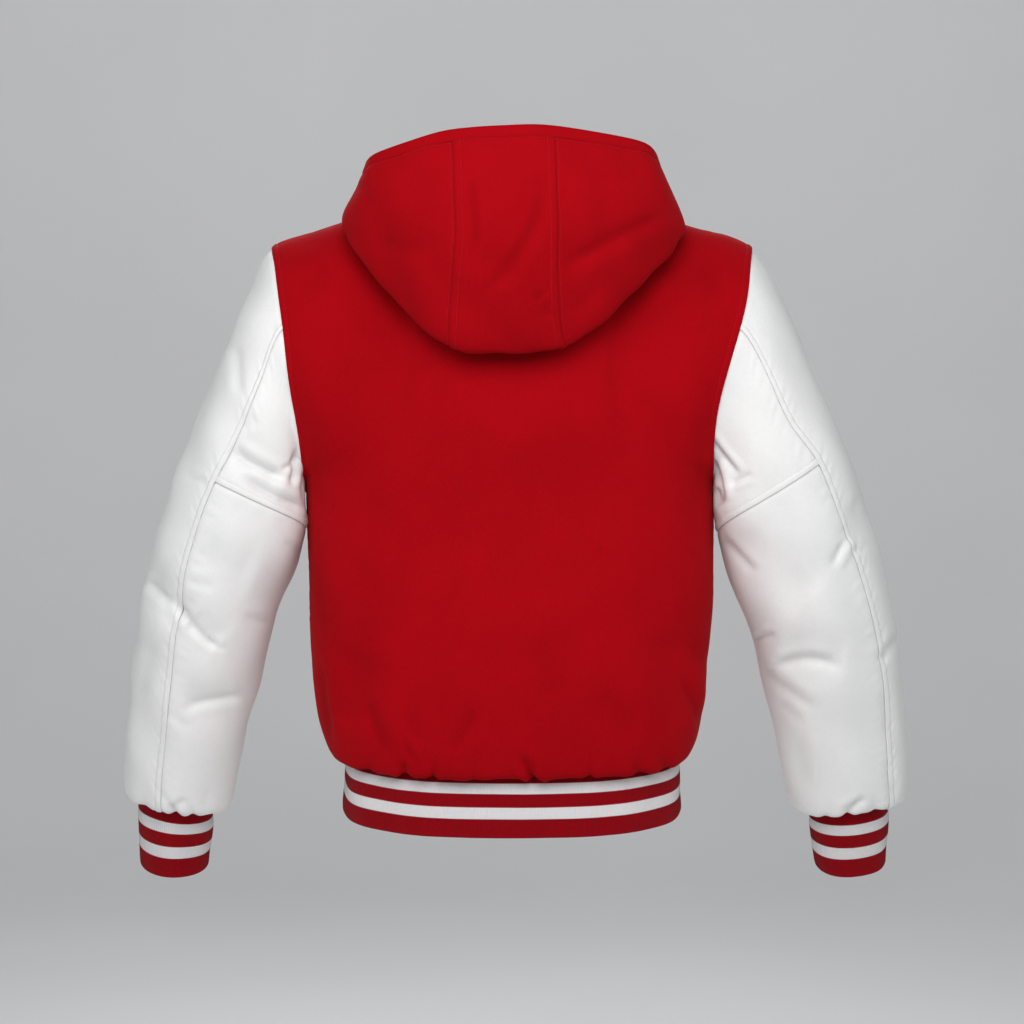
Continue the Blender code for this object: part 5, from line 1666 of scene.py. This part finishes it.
for name, (whole, columns, forms, down_step, material) in KNITS.items():
    spacing = (RIB_PITCH / RIB_STEPS, down_step)
    grid = read_panel(whole, (0, len(HEM_BANDS)), (0, columns), KNIT_NEAR, spacing)
    points, normals, distances = grid[..., :3], grid[..., 3:6], grid[..., 6:10]
    run, rise = distances[..., 0], distances[..., 2]
    down = rise / (rise + distances[..., 3])
    wale = np.broadcast_to(np.arange(points.shape[1]) / RIB_STEPS, run.shape)
    ribbed = ease((rise - 0.001) / 0.004) * ease((distances[..., 3] - 0.0016) / 0.003)
    height = waviness(points, KNIT_WAVE, KNIT_WAVE_SIZE, KNIT_SEED) * ease(down * 3)
    for n, form in enumerate(forms):
        height = height + seam_height(form, distances[..., n], points)
    points = points + normals * height[..., None]
    values = {"run": run, "rise": rise, "fold": np.zeros(run.shape), "seam": np.minimum(rise, SEAM_SEEN),
              "wale": wale, "down": down, "ribbed": ribbed}
    body, _, _ = make_wall(name + "_knit", points, normals, RIB - RIB_HEIGHT, material, values)
    keep_outside(body, "ribbed")
    run_tree(body, ribs, {"Rib height": RIB_HEIGHT, "Material": material})
    flat = strip_size(distances, grid[..., :3])
    CUT[name] = {"body": body, "flat": flat}
    print(name, points.shape[1] // RIB_STEPS, "ribs, cut %.3f x %.3f m, %.4f m2" % flat)

# %% [markdown]
# ## Stitches
# Topstitching is what makes a seam read as sewn. A row follows a panel's edge at a fixed distance, which is
# one column or row of the panel's grid. Geometry Nodes turn such a line into a curve, set a point at each
# stitch, and put a short thread there, laid along the line and half sunk in the cloth. Modelled threads catch
# the light at both ends, which a painted dash does not.

# %% The stitch tree
stitches, given, made = geometry_tree("topstitching", {
    "Pitch": ("Float", 0.0032), "Length": ("Float", 0.0024), "Radius": ("Float", 0.00032),
    "Seed": ("Int", 3), "Material": ("Material", None)})
line = add(stitches, "GeometryNodeMeshToCurve", {"Mesh": given["Geometry"]}).outputs[0]
marks = add(stitches, "GeometryNodeCurveToPoints", {"Curve": line, "Length": given["Pitch"]}, mode="LENGTH")
up = add(stitches, "GeometryNodeInputNamedAttribute", {"Name": "cloth_normal"},
         data_type="FLOAT_VECTOR").outputs[0]
laid = add(stitches, "FunctionNodeAlignRotationToVector", {"Vector": marks.outputs["Tangent"]},
           axis="X").outputs[0]
laid = add(stitches, "FunctionNodeAlignRotationToVector", {"Rotation": laid, "Vector": up}, axis="Z",
           pivot_axis="X").outputs[0]
shape = add(stitches, "GeometryNodeMeshUVSphere", {"Segments": 6, "Rings": 4, "Radius": 0.5}).outputs[0]
length = add(stitches, "ShaderNodeMath", {0: given["Radius"], 1: 2.0}, operation="MULTIPLY").outputs[0]
wide = add(stitches, "ShaderNodeCombineXYZ", {0: given["Length"], 1: length, 2: length}).outputs[0]
vary = add(stitches, "FunctionNodeRandomValue", {"Min": (0.93, 0.9, 0.9), "Max": (1.07, 1.1, 1.1),
                                                 "Seed": given["Seed"]}, data_type="FLOAT_VECTOR").outputs[0]
wide = add(stitches, "ShaderNodeVectorMath", {0: wide, 1: vary}, operation="MULTIPLY").outputs[0]
placed_threads = add(stitches, "GeometryNodeInstanceOnPoints", {
    "Points": marks.outputs["Points"], "Instance": shape, "Rotation": laid, "Scale": wide}).outputs[0]
solid = add(stitches, "GeometryNodeRealizeInstances", {0: placed_threads}).outputs[0]
solid = add(stitches, "GeometryNodeSetShadeSmooth", {"Geometry": solid}).outputs[0]
solid = add(stitches, "GeometryNodeSetMaterial", {
    "Geometry": solid, "Material": given["Material"]}).outputs[0]
stitches.links.new(solid, made["Geometry"])
print("tree:", stitches.name, len(stitches.nodes), "nodes")

# %% Lay the rows of stitches
STITCHED_ABOVE_Z, STITCHED_BEYOND_X = -0.288, 0.096  # where the armholes' and the shoulders' rows start
FIRST, LAST, HIGH = 0, 1, 3                          # edges of a panel


def stitch_row(panel, edge, where=None):
    """The line of a row of stitches on a panel, at the distance from the edge that the edge's form gives."""
    cut = CUT[panel]
    distance = SEAM_FORMS[PANELS[panel][4][edge]][1]
    at = int(np.argmin(np.abs(np.array(cut["near"][edge]) - distance)))
    at = -1 - at if edge % 2 else at
    pick = (slice(None), at) if edge < 2 else (at, slice(None))
    points, normals = cut["outer"][pick], cut["normals"][pick]
    keep = np.ones(len(points), bool) if where is None else where(points)
    return points[keep], normals[keep]


def above_armpit(points):
    """Which points lie on an armhole."""
    return points[:, 2] > STITCHED_ABOVE_Z


def left_shoulder(points):
    """Which points lie on the left shoulder seam."""
    return points[:, 0] > STITCHED_BEYOND_X


def right_shoulder(points):
    """Which points lie on the right shoulder seam."""
    return points[:, 0] < -STITCHED_BEYOND_X


RED_ROWS = [stitch_row("back", edge, above_armpit) for edge in (FIRST, LAST)]
WHITE_ROWS = []
for side in SIDES:
    front, hood_side, sleeve_top = "front_" + side, "hood_side_" + side, "sleeve_top_" + side
    RED_ROWS += [stitch_row(front, FIRST, above_armpit), stitch_row(front, LAST),
                 stitch_row(hood_side, FIRST if side == "left" else LAST), stitch_row(hood_side, HIGH)]
    WHITE_ROWS += [stitch_row(sleeve_top, FIRST), stitch_row(sleeve_top, LAST),
                   stitch_row("sleeve_under_upper_" + side, HIGH)]
RED_ROWS += [stitch_row("hood_centre", edge) for edge in (FIRST, LAST, HIGH)]
RED_ROWS += [stitch_row("back", HIGH, where) for where in (left_shoulder, right_shoulder)]
print("rows of stitches:", len(RED_ROWS), "red,", len(WHITE_ROWS), "white")

# %% Sew
STITCH = {"Pitch": 0.0032, "Length": 0.0025, "Radius": 0.00034, "Seed": 3}
STITCH_RISE = 0.0001  # how far the threads' middles lie above the cloth
STITCH_FACES = 24


def sew(name, rows, thread):
    """One object with all the rows of stitches in one thread."""
    points = np.concatenate([row + normals * STITCH_RISE for row, normals in rows])
    normals = np.concatenate([normals for _, normals in rows])
    edges, at = [], 0
    for row, _ in rows:
        edges += [(at + n, at + n + 1) for n in range(len(row) - 1)]
        at += len(row)
    mesh = bpy.data.meshes.new(name)
    mesh.from_pydata(points.tolist(), edges, [])
    layer = mesh.attributes.new("cloth_normal", "FLOAT_VECTOR", "POINT")
    layer.data.foreach_set("vector", normals.ravel())
    body = bpy.data.objects.new(name, mesh)
    scene.collection.objects.link(body)
    run_tree(body, stitches, {**STITCH, "Material": thread})
    print(name, len(body.data.polygons) // STITCH_FACES, "stitches")
    return body


THREADS = {"red_stitching": sew("red_stitching", RED_ROWS, red_thread),
           "white_stitching": sew("white_stitching", WHITE_ROWS, white_thread)}

# %% [markdown]
# ## Snaps
# A snap's cap is pressed from sheet metal: a rolled rim round a shallow dish, standing on the cloth. Its
# section is turned round its axis. Each of the seven stands for its own solid, whose place and axis are read
# from that solid.

# %% Turn the caps
# The cap's section, from the middle of its face to the middle of its foot: radius and height.
CAP = [(0.0, 0.0023), (0.0018, 0.0024), (0.0036, 0.0027), (0.005, 0.0031), (0.006, 0.0035),
       (0.0067, 0.0036), (0.0073, 0.0033), (0.0076, 0.0026), (0.0075, 0.0018), (0.0071, 0.0011),
       (0.0071, 0.0002), (0.0068, -0.0003), (0.0, -0.0003)]
CAP_STEPS = 40
snaps = {}
for name in sorted(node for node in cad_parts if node.startswith("snap_")):
    corners = np.unique(mesh_points(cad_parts[name].data).round(7), axis=0)
    centre = corners.mean(axis=0)
    axis = np.linalg.svd(corners - centre)[2][2]
    axis *= -math.copysign(1, axis[1])
    foot = centre + axis * ((corners - centre) @ axis).min()
    body = lathe(name + "_cap", CAP, CAP_STEPS)
    turn = Vector((0, 0, 1)).rotation_difference(Vector(axis))
    for vertex in body.data.vertices:
        vertex.co = turn @ vertex.co + Vector(foot)
    body.data.materials.append(nickel)
    snaps[name] = body
print("snaps:", len(snaps), "faces each:", len(body.data.polygons))

# %% [markdown]
# ## What each piece stands for
# Every panel replaces its plain solid and rides on the one body. The size it was cut to is measured along the
# cloth of the middle surface.

# %% Join the pieces to the model
for name, cut in CUT.items():
    body = cut["body"]
    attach(body, "root")
    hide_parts(name)
    width, length, area = cut["flat"]
for name, body in THREADS.items():
    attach(body, "root")
for name, body in snaps.items():
    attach(body, "root")
    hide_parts(name)
added = [cut["body"] for cut in CUT.values()] + list(THREADS.values()) + list(snaps.values())
counts = {body.name: sum(len(face.vertices) - 2 for face in body.data.polygons) for body in added}
print("triangles:", sum(counts.values()), "most in", max(counts, key=counts.get), max(counts.values()))
